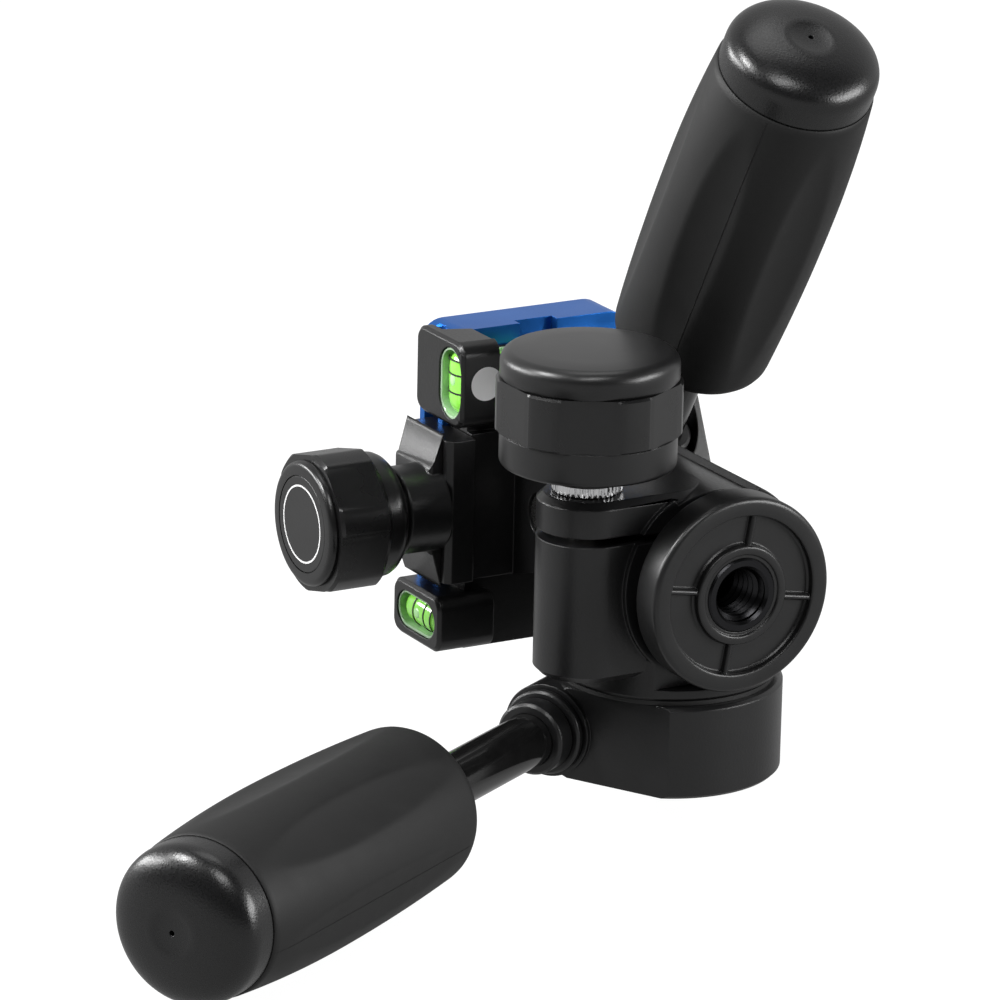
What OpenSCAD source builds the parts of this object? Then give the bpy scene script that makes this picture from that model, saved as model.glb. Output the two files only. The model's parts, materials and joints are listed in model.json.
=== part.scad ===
/* [Base] */
// Diameter of the base disc
base_d = 35; // [32:0.5:40]
// Height of the base disc
base_h = 6.5; // [5:0.5:9]
// Outer diameter of the recess under the base
recess_d = 29.7; // [26:0.1:31]
// Depth of the recess under the base
recess_depth = 2.6; // [1.5:0.1:3.5]
// Diameter of the boss in the middle of the recess
base_boss_d = 17.7; // [16:0.1:20]
// Width of the ribs in the recess
rib_w = 1.3; // [0.8:0.1:2.5]
// Number of ribs in the recess
rib_count = 4; // [3:1:6]
// Diameter of the threaded bush
bush_d = 13.2; // [11:0.1:15]
// Bore of the bush before its thread, three eighths of an inch
tripod_bore_d = 8; // [6:0.1:9]
// Depth of the tripod thread
tripod_bore_depth = 12; // [8:0.5:14]

/* [Pan stage] */
// Diameter of the pan spindle
spindle_d = 22; // [20:0.5:24]
// Height of the spindle's top above the ground face
spindle_top = 16.5; // [15:0.5:18]
// Gap between the base disc and the pan housing
neck_h = 2.5; // [1.5:0.1:4]
// Diameter of the upright pan housing
housing_d = 36; // [34:0.5:40]
// Radius of the housing's rounded back, about the tilt axis
saddle_r = 19.6; // [18:0.1:22]
// Height of the tilt axis above the ground face
tilt_axis_z = 24.65; // [22:0.05:28]
// Radius of the clamp lug round the pan knob's stud
lug_r = 8.7; // [7:0.1:10]
// Distance of the pan knob's stud behind the pan axis
lug_reach = 20.5; // [18:0.5:24]
// Height of the pan knob's stud
lug_z = 18.7; // [17:0.1:21]
// Width of the saw cut that lets the lug close
lug_slot = 1.6; // [1:0.1:2.5]
// Diameter of the tilt shaft
tilt_shaft_d = 16; // [12:0.5:18]

/* [Pan knob] */
// Width over the corners of the knob's faceted ring
knob_ring_d = 32.2; // [28:0.2:36]
// Width over the flats of the knob's faceted ring
knob_flats = 30.8; // [26:0.2:34]
// Length of the faceted ring
knob_ring_len = 9.5; // [6:0.5:14]
// Diameter of the knob's hub and cap
knob_hub_d = 30.7; // [26:0.1:34]
// Length of the knob's hub
knob_hub_len = 5.9; // [4:0.1:9]
// Height of the knob's cap
knob_cap_len = 5; // [3:0.5:8]
// Diameter of the clamp studs' threads
stud_d = 6; // [5:0.5:7]

/* [Tilt stage] */
// Radius of the tilt clamp ring
ring_r = 20.6; // [19:0.1:23]
// Width of the tilt clamp ring along its axis
ring_w = 16.7; // [14:0.1:20]
// How far the handles hang below level
droop = 30; // [20:1:40]
// Distance of the tilt handle's axis from the tilt axis
clamp_offset = 13.3; // [12.5:0.1:14]
// Distance of the ring's flat behind the tilt axis
flat_reach = 17.6; // [16:0.1:19]
// Width of the saw cut in the clamp ring
ring_slot = 1.8; // [1:0.1:3]
// Height of the lateral axis above the ground face
cross_axis_z = 55.5; // [54:0.1:58]
// Diameter of the cross barrel on the tilt arm
barrel_d = 13; // [11:0.5:15]
// Diameter of the lateral shaft
cross_shaft_d = 8; // [6:0.5:10]

/* [Handles] */
// Diameter of the handle rods
rod_d = 9.5; // [8:0.1:11]
// Largest diameter of the rubber grips
grip_d = 30.4; // [26:0.2:34]
// Diameter of the grips at the cap's seam
grip_seam_d = 28; // [24:0.1:30]
// Length of the rubber grips
grip_len = 62; // [50:1:90]
// Height of the domed end caps
cap_h = 9.1; // [6:0.1:12]
// Distance of the tilt handle's cap seam from the tilt axis
tilt_seam = 128.9; // [110:0.1:150]
// Distance of the cross handle's cap seam from the lateral axis
cross_seam = 102.3; // [95:0.1:120]

/* [Platform and clamp] */
// Height of the platform's top above the ground face
platform_z = 72.5; // [71:0.5:76]
// Length of the platform from left to right
platform_len = 54; // [50:1:60]
// Width of the camera plate's dovetail
plate_w = 38; // [36:0.1:40]
// Length of the camera plate
plate_len = 60; // [54:1:70]
// Thickness of the camera plate
plate_t = 9.5; // [8:0.1:12]
// Length of the moving jaw
jaw_len = 26.6; // [20:0.2:34]
// Diameter of the camera screw's thread, a quarter inch
camera_thread_d = 6.2; // [6:0.05:6.35]
// Length of the camera screw's thread above the plate
camera_thread_len = 5; // [4:0.1:6]
// Width over the corners of the clamp knob
clamp_knob_d = 25; // [20:0.5:28]
// Length of the clamp knob
clamp_knob_len = 16.5; // [12:0.5:20]
// Diameter of the clamp knob's collar
clamp_collar_d = 16; // [12:0.5:18]

/* [Fits] */
// Radial clearance of a turning or sliding fit
running = 0.05; // [0.03:0.01:0.08]
// Gap between bodies that pass each other
gap = 0.3; // [0.2:0.05:0.5]
// Radial clearance of a part that is fixed in place
seat = 0.02; // [0.01:0.005:0.03]

/* [Hidden] */
$fn = 96;
eps = 0.5;
edge = 1.2;

housing_z = base_h + neck_h;
spindle_groove_z = housing_z + 4.2;
pan_pin_d = 2.4;
pan_pin_x = spindle_d / 2 - pan_pin_d / 2 + 1;
lug_x0 = -16;
lug_x1 = housing_d / 2;
slot_x = lug_x1 - 9.3;
knob_x = lug_x1 + 3.4;
ring_x1 = -housing_d / 2 - 3.13;
ring_x0 = ring_x1 - ring_w;
ring_mid = (ring_x0 + ring_x1) / 2;
saddle_x0 = ring_x1 + 0.83;
shaft_x1 = 10;
cover_t = 2;
keeper_t = 2;
keeper_r = tilt_shaft_d / 2 + 2.2;
shaft_x0 = ring_x0 + cover_t + keeper_t + 2.2;
spindle_bore_top = spindle_top + 0.5;

cross_y = 12;
cross_line_z = cross_axis_z + 3.6;
collar_r1 = 6.5;
collar_r2 = 7.6;
boss_r = 8.5;
tilt_boss_s = 18.5;
cross_boss_s = 11.6;
shoe_t = 1.2;
stud_reach = (cross_line_z - cross_axis_z) * sin(droop) + barrel_d / 2 + shoe_t;
thrust_t = 1.7;
collar_len = 4.3;

fork_y0 = -8.7;
fork_y1 = 21;
fork_t = 4;
fork_rear_r = 11;
fork_front_r = 12.2;
barrel_y0 = fork_y0 + fork_t + gap;
barrel_y1 = fork_y1 - fork_t - gap;

platform_t = 8;
wing_t = 6.3;
core_w = 27.2;
platform_y0 = -17.7;
platform_y1 = 23.5;
jaw_y0 = -23.4;
jaw_y1 = platform_y0 - gap;
jaw_z0 = 62.5;
lip_h = 2.2;
waist_h = 5;
waist_in = 2.8;
jaw_top = platform_z + waist_h + 0.8;
clamp_z = platform_z - 3.8;
clamp_knob_y = jaw_y0 - 8.6;
clamp_stud_d = 5;
guide_d = 4;
guide_x = 9.5;
guide_z = 68;
screw_neck_r = 2.4;

ear_x = 23;
ear_y = -21.3;
ear_z = 70;
ear_w = 15.4;
ear_h = 15.5;
vial_len = 11.4;
vial_r = 3.7;
side_ear_x = -21;
side_ear_y = -25;
side_ear_z = 70.9;
side_ear_w = 9.8;
side_ear_h = 16.4;
side_vial_len = 12.6;
side_vial_r = 3.2;
end_vial_y = -6.5;
end_vial_len = 10;
end_vial_r = 2.6;

// A cylinder along +X that starts at x
module along_x(x, length, r) {
    translate([x, 0, 0])
        rotate([0, 90, 0])
            cylinder(h = length, r = r);
}

// A cylinder along +Y that starts at y
module along_y(y, length, r) {
    translate([0, y, 0])
        rotate([-90, 0, 0])
            cylinder(h = length, r = r);
}

// Local +Z runs out along the tilt handle, from the point nearest the tilt axis
module tilt_handle_frame() {
    translate([ring_mid, -clamp_offset * sin(droop), tilt_axis_z + clamp_offset * cos(droop)])
        rotate([90 + droop, 0, 0])
            children();
}

// Local +Z runs out along the cross handle, from the middle plane of the head
module cross_handle_frame() {
    translate([0, cross_y, cross_line_z])
        rotate([0, 90 + droop, 0])
            children();
}

// A round bar with a chamfer on each end, from z = 0 up
module chamfered_bar(length, r, c) {
    rotate_extrude()
        polygon([[0, 0], [r - c, 0], [r, c], [r, length - c], [r - c, length], [0, length]]);
}

// ---- base ----

module base_rib(angle) {
    rotate([0, 0, angle])
        translate([base_boss_d / 2 - eps, -rib_w / 2, 0.8])
            cube([recess_d / 2 - base_boss_d / 2 + 2 * eps, rib_w, recess_depth]);
}

module base_flange() {
    color("dimgray")
    difference() {
        union() {
            difference() {
                chamfered_bar(base_h, base_d / 2, 0.5);
                translate([0, 0, -eps])
                    difference() {
                        cylinder(h = recess_depth + eps, r = recess_d / 2);
                        cylinder(h = recess_depth + eps, r = base_boss_d / 2);
                    }
            }
            for (i = [0 : rib_count - 1])
                base_rib(18 + i * 360 / rib_count);
        }
        translate([0, 0, -eps])
            cylinder(h = base_h + 2 * eps, r = bush_d / 2 + seat);
    }
}

module thread_bush() {
    color("silver")
    difference() {
        cylinder(h = tripod_bore_depth + 1, r = bush_d / 2);
        translate([0, 0, -eps])
            cylinder(h = tripod_bore_depth + eps, r = tripod_bore_d / 2);
    }
}

module pan_spindle() {
    groove = pan_pin_d + 0.4;
    color("silver")
    difference() {
        translate([0, 0, base_h])
            cylinder(h = spindle_top - base_h, r = spindle_d / 2);
        translate([0, 0, -eps])
            cylinder(h = tripod_bore_depth + 1 + eps + seat, r = bush_d / 2 + seat);
        translate([0, 0, spindle_groove_z - groove / 2])
            difference() {
                cylinder(h = groove, r = spindle_d);
                cylinder(h = groove, r = pan_pin_x - pan_pin_d / 2 - 0.2);
            }
    }
}

module pan_friction_ring() {
    color("black")
    translate([0, 0, base_h])
        difference() {
            cylinder(h = neck_h, r = housing_d / 2 - 3.2);
            translate([0, 0, -eps])
                cylinder(h = neck_h + 2 * eps, r = spindle_d / 2 + seat);
        }
}

// ---- pan stage ----

module lug_body() {
    hull()
        for (y = [-lug_reach, -lug_reach / 3])
            translate([0, y, lug_z])
                rotate([0, 90, 0]) {
                    translate([0, 0, lug_x0])
                        cylinder(h = lug_x1 - lug_x0, r = lug_r - edge, $fn = 64);
                    translate([0, 0, lug_x0 + edge])
                        cylinder(h = lug_x1 - lug_x0 - 2 * edge, r = lug_r, $fn = 64);
                }
}

module saddle_body() {
    intersection() {
        cylinder(h = tilt_axis_z + saddle_r, r = housing_d / 2);
        translate([0, 0, tilt_axis_z])
            union() {
                along_x(-housing_d / 2, housing_d, saddle_r);
                translate([-housing_d / 2, -housing_d / 2, -tilt_axis_z])
                    cube([housing_d, housing_d, tilt_axis_z]);
            }
    }
    translate([saddle_x0, 0, tilt_axis_z])
        rotate([0, 90, 0])
            chamfered_bar(8, saddle_r, 0.6);
}

module pan_housing() {
    color("dimgray")
    difference() {
        union() {
            saddle_body();
            lug_body();
        }
        translate([-housing_d / 2 - 0.2, -50, -eps])
            cube([100, 100, housing_z + eps]);
        translate([0, 0, housing_z - eps])
            cylinder(h = spindle_bore_top - housing_z + eps, r = spindle_d / 2 + running);
        translate([slot_x, -lug_reach - lug_r - eps, housing_z - eps])
            cube([lug_slot, lug_reach + lug_r - 5, lug_z + lug_r - housing_z + 2 * eps]);
        translate([0, -lug_reach, lug_z])
            along_x(lug_x0 + 4, lug_x1 - lug_x0, stud_d / 2 + running);
        translate([0, 0, tilt_axis_z])
            along_x(saddle_x0 - eps, shaft_x1 - saddle_x0 + eps, tilt_shaft_d / 2 + seat);
        translate([-pan_pin_x, -housing_d / 2, spindle_groove_z])
            along_y(0, housing_d, pan_pin_d / 2 + seat);
    }
}

module pan_retaining_pin() {
    half = sqrt(pow(housing_d / 2, 2) - pow(pan_pin_x, 2)) - 0.6;
    color("silver")
    translate([-pan_pin_x, -half, spindle_groove_z])
        along_y(0, 2 * half, pan_pin_d / 2);
}

module tilt_shaft() {
    color("silver")
    translate([shaft_x0, 0, tilt_axis_z])
        rotate([0, 90, 0])
            difference() {
                chamfered_bar(shaft_x1 - shaft_x0, tilt_shaft_d / 2, 0.5);
                translate([0, 0, -eps])
                    cylinder(h = 12 + eps, r = stud_d / 2);
            }
}

module tilt_washer() {
    color("gray")
    translate([0, 0, tilt_axis_z])
        difference() {
            along_x(ring_x1 + 0.03, saddle_x0 - ring_x1 - 0.06, saddle_r - 0.6);
            along_x(ring_x1 - eps, 3, tilt_shaft_d / 2 + running);
        }
}

module tilt_keeper() {
    color("silver")
    translate([0, 0, tilt_axis_z])
        difference() {
            along_x(shaft_x0 - keeper_t, keeper_t, keeper_r);
            along_x(shaft_x0 - keeper_t - eps, keeper_t + 2 * eps, stud_d / 2 + seat);
        }
}

module tilt_keeper_screw() {
    color("gray")
    translate([0, 0, tilt_axis_z]) {
        along_x(shaft_x0 - keeper_t, 12 + keeper_t, stud_d / 2 - seat);
        difference() {
            along_x(shaft_x0 - keeper_t - 1.6, 1.6, 5);
            along_x(shaft_x0 - keeper_t - 1.6 - eps, 1.2 + eps, 2, $fn = 6);
        }
    }
}

// ---- pan knob ----

module knob_frame() {
    translate([0, -lug_reach, lug_z])
        rotate([0, 90, 0])
            children();
}

module pan_knob_stud() {
    color("silver")
    knob_frame()
        translate([0, 0, lug_x0 + 5])
            chamfered_bar(knob_x - lug_x0 - 5 + knob_hub_len, stud_d / 2, 0.5);
}

module pan_knob_collar() {
    color("silver")
    knob_frame()
        difference() {
            translate([0, 0, lug_x1 + 0.2])
                chamfered_bar(knob_x - lug_x1 - 0.2, 6, 0.4);
            translate([0, 0, lug_x1 - eps])
                cylinder(h = 6, r = stud_d / 2 + seat);
        }
}

module pan_knob_hub() {
    color("dimgray")
    knob_frame()
        difference() {
            translate([0, 0, knob_x])
                rotate_extrude()
                    polygon([[0, 0], [knob_hub_d / 2 - 1, 0], [knob_hub_d / 2 - 0.3, 0.4],
                        [knob_hub_d / 2, 1], [knob_hub_d / 2, knob_hub_len], [0, knob_hub_len]]);
            translate([0, 0, knob_x - eps])
                cylinder(h = knob_hub_len + 2 * eps, r = stud_d / 2 + seat);
        }
}

module pan_knob_ring() {
    color("black")
    knob_frame()
        translate([0, 0, knob_x + knob_hub_len])
            intersection() {
                chamfered_bar(knob_ring_len, knob_ring_d / 2, 0.4);
                rotate([0, 0, 30])
                    cylinder(h = knob_ring_len, r = knob_flats / 2 / cos(30), $fn = 6);
            }
}

module pan_knob_cap() {
    r = knob_hub_d / 2 + 0.15;
    color("dimgray")
    knob_frame()
        translate([0, 0, knob_x + knob_hub_len + knob_ring_len])
            rotate_extrude()
                polygon([[0, 0], [r, 0], [r, knob_cap_len - 2], [r - 0.25, knob_cap_len - 1.2],
                    [r - 0.9, knob_cap_len - 0.5], [r - 2, knob_cap_len - 0.1],
                    [r - 3.5, knob_cap_len], [r / 2, knob_cap_len + 0.25], [0, knob_cap_len + 0.35]]);
}

// ---- handles, shared by the tilt and the cross handle ----

module handle_thrust_ring(boss_s) {
    color("dimgray")
    translate([0, 0, boss_s])
        difference() {
            chamfered_bar(thrust_t, collar_r2, 0.4);
            translate([0, 0, -eps])
                cylinder(h = thrust_t + 2 * eps, r = stud_d / 2 + seat);
        }
}

module handle_collar(boss_s) {
    color("dimgray")
    translate([0, 0, boss_s + thrust_t])
        difference() {
            chamfered_bar(collar_len, collar_r1, 0.5);
            translate([0, 0, -eps])
                cylinder(h = 1.5 + eps, r = stud_d / 2 + seat);
            translate([0, 0, 1.5])
                cylinder(h = collar_len, r = rod_d / 2 + seat);
        }
}

module handle_rod(boss_s, seam_s, stud_in) {
    shoulder = boss_s + thrust_t + 1.5;
    color("silver")
    union() {
        translate([0, 0, stud_in])
            chamfered_bar(shoulder - stud_in + eps, stud_d / 2, 0.5);
        translate([0, 0, shoulder])
            cylinder(h = seam_s - 8 - shoulder, r = rod_d / 2);
    }
}

// Half outline of the grip: a swelling barrel that narrows towards the collar
function grip_r(t) = grip_seam_d / 2 - 0.4 + (grip_d - grip_seam_d + 0.8) / 2 * sin(180 * pow(t, 0.8)) - 0.5 * t;

module handle_grip(seam_s) {
    steps = 16;
    nose = 2.6;
    color("dimgray")
    translate([0, 0, seam_s])
        rotate([180, 0, 0])
            difference() {
                rotate_extrude()
                    polygon(concat(
                        [[0, 0]],
                        [for (i = [0 : steps]) [grip_r(i / steps), (grip_len - nose) * i / steps]],
                        [for (a = [22.5 : 22.5 : 90])
                            [grip_r(1) - nose * (1 - cos(a)), grip_len - nose + nose * sin(a)]],
                        [[0, grip_len]]));
                translate([0, 0, 7])
                    cylinder(h = grip_len, r = rod_d / 2 + seat);
            }
}

module handle_cap(seam_s) {
    r = grip_seam_d / 2 + 0.05;
    color("black")
    translate([0, 0, seam_s])
        difference() {
            rotate_extrude()
                polygon(concat(
                    [[0, 0], [r, 0]],
                    [for (a = [0 : 10 : 80])
                        [r - 3 * (1 - cos(a)), cap_h - 6 + 4.2 * sin(a)]],
                    [for (t = [0.8, 0.6, 0.4, 0.2, 0]) [r * 0.8 * t / 0.8, cap_h - 1.8 * t * t]]));
            translate([0, 0, cap_h - 2])
                cylinder(h = 3, r = 0.5);
        }
}

// ---- tilt stage ----

module clamp_ring() {
    intersection() {
        translate([ring_x0, 0, tilt_axis_z])
            rotate([0, 90, 0])
                chamfered_bar(ring_w, ring_r, 0.6);
        // the flat that the handle's boss stands on
        translate([ring_mid, 0, tilt_axis_z])
            rotate([90 + droop, 0, 0])
                translate([-ring_w, -50, -50])
                    cube([2 * ring_w, 100, 50 + flat_reach]);
    }
    tilt_handle_frame()
        translate([0, 0, 4])
            cylinder(h = tilt_boss_s - 4, r = min(boss_r, ring_w / 2));
}

module arm_web() {
    web_y0 = -4;
    web_y1 = 15;
    translate([0, web_y1, 0])
        rotate([90, 0, 0])
            linear_extrude(height = web_y1 - web_y0)
                polygon([[ring_x0 + 0.5, tilt_axis_z + ring_r - 9], [ring_x0 + 1, tilt_axis_z + ring_r - 1],
                    [-11.5, cross_axis_z + 2.6], [-3, cross_axis_z + 6.2], [-3, cross_axis_z - 6.8],
                    [-16, tilt_axis_z + saddle_r + gap + 0.4], [ring_x1, tilt_axis_z + saddle_r + gap + 0.2],
                    [ring_x1, tilt_axis_z + ring_r - 9]]);
}

module tilt_arm() {
    color("dimgray")
    difference() {
        union() {
            clamp_ring();
            arm_web();
            translate([0, 0, cross_axis_z])
                along_y(barrel_y0, barrel_y1 - barrel_y0, barrel_d / 2);
        }
        translate([0, 0, tilt_axis_z]) {
            along_x(ring_x0 - eps, ring_w + 2 * eps, tilt_shaft_d / 2 + running);
            along_x(ring_x0 - eps, shaft_x0 - ring_x0 + eps, keeper_r + gap);
        }
        translate([0, 0, cross_axis_z])
            along_y(barrel_y0 - eps, barrel_y1 - barrel_y0 + 2 * eps, cross_shaft_d / 2 + running);
        tilt_handle_frame() {
            translate([0, 0, -13])
                cylinder(h = 50, r = stud_d / 2 + running);
            translate([-ring_w, -clamp_offset + tilt_shaft_d / 4, -ring_slot / 2])
                cube([2 * ring_w, ring_r, ring_slot]);
        }
    }
}

module tilt_end_cover() {
    color("black")
    translate([ring_x0 - 0.4, 0, tilt_axis_z])
        rotate([0, 90, 0])
            chamfered_bar(cover_t, keeper_r + gap - seat, 0.3);
}

module tilt_handle_thrust_ring() {
    tilt_handle_frame()
        handle_thrust_ring(tilt_boss_s + 0.05);
}

module tilt_handle_collar() {
    tilt_handle_frame()
        handle_collar(tilt_boss_s + 0.05);
}

module tilt_handle_rod() {
    tilt_handle_frame()
        handle_rod(tilt_boss_s + 0.05, tilt_seam, -12);
}

module tilt_handle_grip() {
    tilt_handle_frame()
        handle_grip(tilt_seam);
}

module tilt_handle_cap() {
    tilt_handle_frame()
        handle_cap(tilt_seam);
}

// ---- lateral stage ----

// One cheek of the fork, y0 to y0 + fork_t, round under the lateral axis
module fork_cheek(y0, r) {
    top = platform_z - platform_t + 1;
    translate([0, y0 + fork_t, 0])
        rotate([90, 0, 0])
            linear_extrude(height = fork_t)
                union() {
                    translate([0, cross_axis_z])
                        circle(r = r);
                    polygon([[-r * sin(25), cross_axis_z - r * cos(25) + 0.01],
                        [r * sin(25), cross_axis_z - r * cos(25)],
                        [19.5, cross_axis_z - r * cos(25) + (19.5 - r * sin(25)) * tan(25)],
                        [platform_len / 2 + 1, top], [-r - 3, top], [-r, cross_axis_z]]);
                }
}

// The block on the right of the barrel that carries the cross handle's boss
module fork_block() {
    x0 = barrel_d / 2 + gap;
    translate([0, fork_y1 - 1, 0])
        rotate([90, 0, 0])
            linear_extrude(height = fork_y1 - fork_y0 - 2)
                polygon([[x0, cross_axis_z - 3], [x0 + 0.8, cross_axis_z - 4.5], [13.3, cross_axis_z + 2],
                    [18, platform_z - platform_t + 1], [x0, platform_z - platform_t + 1]]);
    cross_handle_frame()
        translate([0, 0, cross_boss_s - 3.5])
            cylinder(h = 3.5, r = boss_r - 0.4);
}

// A rounded block for a level vial, whose back face is at y
module ear(x, w, y, z, h) {
    r = 2.5;
    depth = platform_y0 + 4 - y;
    hull()
        for (dx = [r - w / 2, w / 2 - r], dz = [r - h / 2, h / 2 - r])
            translate([x + dx, y, z + dz])
                rotate([-90, 0, 0]) {
                    cylinder(h = depth, r = r - 0.6, $fn = 32);
                    translate([0, 0, 0.6])
                        cylinder(h = depth - 0.6, r = r, $fn = 32);
                }
}

// A bar with round ends, long in local X, that stands height high on z = 0
module vial_oblong(height, length, r) {
    for (x = [r - length / 2, length / 2 - r])
        translate([x, 0, 0])
            cylinder(h = height, r = r);
    translate([r - length / 2, -r, 0])
        cube([length - 2 * r, 2 * r, height]);
}

// Places for the vials: local +Z points out of each pocket's floor
module rear_vial_place() {
    translate([ear_x, ear_y + 3, ear_z - 3.5])
        rotate([90, 0, 0])
            children();
}

module side_vial_place() {
    translate([side_ear_x, side_ear_y + 3, side_ear_z])
        rotate([90, 90, 0])
            children();
}

module end_vial_place() {
    translate([platform_len / 2 - 2, end_vial_y, platform_z - 3.2])
        rotate([90, 0, 90])
            children();
}

module platform_slab() {
    translate([-platform_len / 2, platform_y0, platform_z - wing_t])
        cube([platform_len, platform_y1 - platform_y0, wing_t]);
    translate([-core_w / 2, platform_y0, platform_z - platform_t])
        cube([core_w, platform_y1 - platform_y0, platform_t]);
    // fixed jaw along the front
    translate([platform_len / 2, 0, 0])
        rotate([0, -90, 0])
            linear_extrude(height = platform_len)
                polygon([[platform_z - 1, plate_w / 2 + seat], [platform_z + lip_h + 0.2, plate_w / 2 + seat],
                    [platform_z + waist_h, plate_w / 2 - waist_in + 0.2],
                    [jaw_top, plate_w / 2 - waist_in + 0.2], [jaw_top, platform_y1 - 1],
                    [jaw_top - 1, platform_y1], [platform_z - 1, platform_y1]]);
}

module platform() {
    color("dimgray")
    difference() {
        union() {
            platform_slab();
            fork_cheek(fork_y0, fork_rear_r);
            fork_cheek(fork_y1 - fork_t, fork_front_r);
            fork_block();
            difference() {
                union() {
                    ear(ear_x, ear_w, ear_y, ear_z, ear_h);
                    ear(side_ear_x, side_ear_w, side_ear_y, side_ear_z, side_ear_h);
                }
                translate([-plate_len, -plate_w / 2 - gap, platform_z])
                    cube([2 * plate_len, plate_w, 2 * plate_t]);
            }
        }
        translate([0, 0, cross_axis_z])
            along_y(fork_y0 - eps, fork_y1 - fork_y0 + 2 * eps, cross_shaft_d / 2 + seat);
        translate([0, 0, cross_axis_z])
            along_y(barrel_y0 - gap, barrel_y1 - barrel_y0 + 2 * gap, barrel_d / 2 + gap);
        cross_handle_frame() {
            translate([0, 0, 5])
                cylinder(h = 20, r = stud_d / 2 + running);
            translate([0, 0, cross_boss_s])
                cylinder(h = 20, r = collar_r2 + gap);
        }
        translate([0, platform_y0 - eps, clamp_z])
            along_y(0, 24, clamp_stud_d / 2 + running);
        for (x = [-guide_x, guide_x])
            translate([x, platform_y0 - eps, guide_z])
                along_y(0, 12.5, guide_d / 2 + seat);
        rear_vial_place()
            vial_oblong(3 + eps, vial_len, vial_r);
        side_vial_place()
            vial_oblong(3 + eps, side_vial_len, side_vial_r);
        end_vial_place()
            vial_oblong(2 + eps, end_vial_len, end_vial_r);
    }
}

module lateral_shaft() {
    color("silver")
    translate([0, fork_y0 + 0.4, cross_axis_z])
        rotate([-90, 0, 0])
            chamfered_bar(fork_y1 - fork_y0 - 0.8, cross_shaft_d / 2, 0.5);
}

module lateral_brake_shoe() {
    color("goldenrod")
    difference() {
        cross_handle_frame()
            translate([0, 0, stud_reach - shoe_t - 2])
                cylinder(h = shoe_t + 2, r = stud_d / 2);
        translate([0, 0, cross_axis_z])
            along_y(barrel_y0, barrel_y1 - barrel_y0, barrel_d / 2 + 0.1);
    }
}

module cross_handle_thrust_ring() {
    cross_handle_frame()
        handle_thrust_ring(cross_boss_s + 0.05);
}

module cross_handle_collar() {
    cross_handle_frame()
        handle_collar(cross_boss_s + 0.05);
}

module cross_handle_rod() {
    cross_handle_frame()
        handle_rod(cross_boss_s + 0.05, cross_seam, stud_reach + 0.1);
}

module cross_handle_grip() {
    cross_handle_frame()
        handle_grip(cross_seam);
}

module cross_handle_cap() {
    cross_handle_frame()
        handle_cap(cross_seam);
}

module rear_level_vial() {
    color("lime")
    rear_vial_place()
        vial_oblong(2.6, vial_len - 2 * seat, vial_r - seat);
}

module side_level_vial() {
    color("lime")
    side_vial_place()
        vial_oblong(2.6, side_vial_len - 2 * seat, side_vial_r - seat);
}

module end_level_vial() {
    color("lime")
    end_vial_place()
        vial_oblong(1.7, end_vial_len - 2 * seat, end_vial_r - seat);
}

module blank_disc() {
    color("white")
    translate([ear_x + 0.5, ear_y + 5, ear_z - ear_h / 2 - 0.3])
        cylinder(h = 0.3, r = 3.1);
}

// ---- plate clamp ----

module jaw_guide_pins() {
    color("silver")
    for (x = [-guide_x, guide_x])
        translate([x, jaw_y0 + 1, guide_z])
            along_y(0, 10 + platform_y0 - jaw_y0, guide_d / 2);
}

module moving_jaw() {
    color("dimgray")
    difference() {
        translate([jaw_len / 2, 0, 0])
            rotate([0, -90, 0])
                linear_extrude(height = jaw_len)
                    polygon([[jaw_z0 + 1, jaw_y0], [jaw_top - 1.5, jaw_y0], [jaw_top, jaw_y0 + 1.5],
                        [jaw_top, -plate_w / 2 + waist_in - 0.2],
                        [platform_z + waist_h, -plate_w / 2 + waist_in - 0.2],
                        [platform_z + lip_h + 0.2, -plate_w / 2 - seat],
                        [platform_z - gap, -plate_w / 2 - seat],
                        [platform_z - gap, jaw_y1], [jaw_z0, jaw_y1], [jaw_z0, jaw_y0 + 1]]);
        for (x = [-guide_x, guide_x])
            translate([x, jaw_y0 - eps, guide_z])
                along_y(0, 20, guide_d / 2 + running);
        translate([0, jaw_y0 - eps, clamp_z])
            along_y(0, 20, clamp_stud_d / 2 + running);
    }
}

module clamp_screw() {
    color("silver")
    translate([0, clamp_knob_y - 10, clamp_z])
        rotate([-90, 0, 0])
            chamfered_bar(10 - clamp_knob_y + platform_y0 + 16, clamp_stud_d / 2, 0.4);
}

module clamp_knob_collar() {
    length = jaw_y0 - 0.05 - clamp_knob_y;
    color("dimgray")
    translate([0, clamp_knob_y, clamp_z])
        rotate([-90, 0, 0])
            difference() {
                rotate_extrude()
                    polygon([[0, 0], [clamp_collar_d / 2 - 1, 0], [clamp_collar_d / 2 - 1, 1.4],
                        [clamp_collar_d / 2, 2.2], [clamp_collar_d / 2, length - 0.6],
                        [clamp_collar_d / 2 - 0.6, length], [0, length]]);
                translate([0, 0, -eps])
                    cylinder(h = length + 2 * eps, r = clamp_stud_d / 2 + seat);
            }
}

module clamp_knob() {
    color("black")
    translate([0, clamp_knob_y, clamp_z])
        rotate([90, 0, 0])
            difference() {
                intersection() {
                    chamfered_bar(clamp_knob_len, clamp_knob_d / 2, 1.6);
                    cylinder(h = clamp_knob_len, r = (clamp_knob_d / 2 - 0.5) / cos(22.5), $fn = 8);
                }
                translate([0, 0, -eps])
                    cylinder(h = 10 + eps, r = clamp_stud_d / 2 + seat);
                translate([0, 0, clamp_knob_len - 0.6])
                    cylinder(h = 1, r = 9.2);
            }
}

module clamp_knob_disc() {
    color("black")
    translate([0, clamp_knob_y - clamp_knob_len, clamp_z])
        rotate([-90, 0, 0])
            cylinder(h = 0.6, r = 9.1);
}

// ---- camera plate ----

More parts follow.
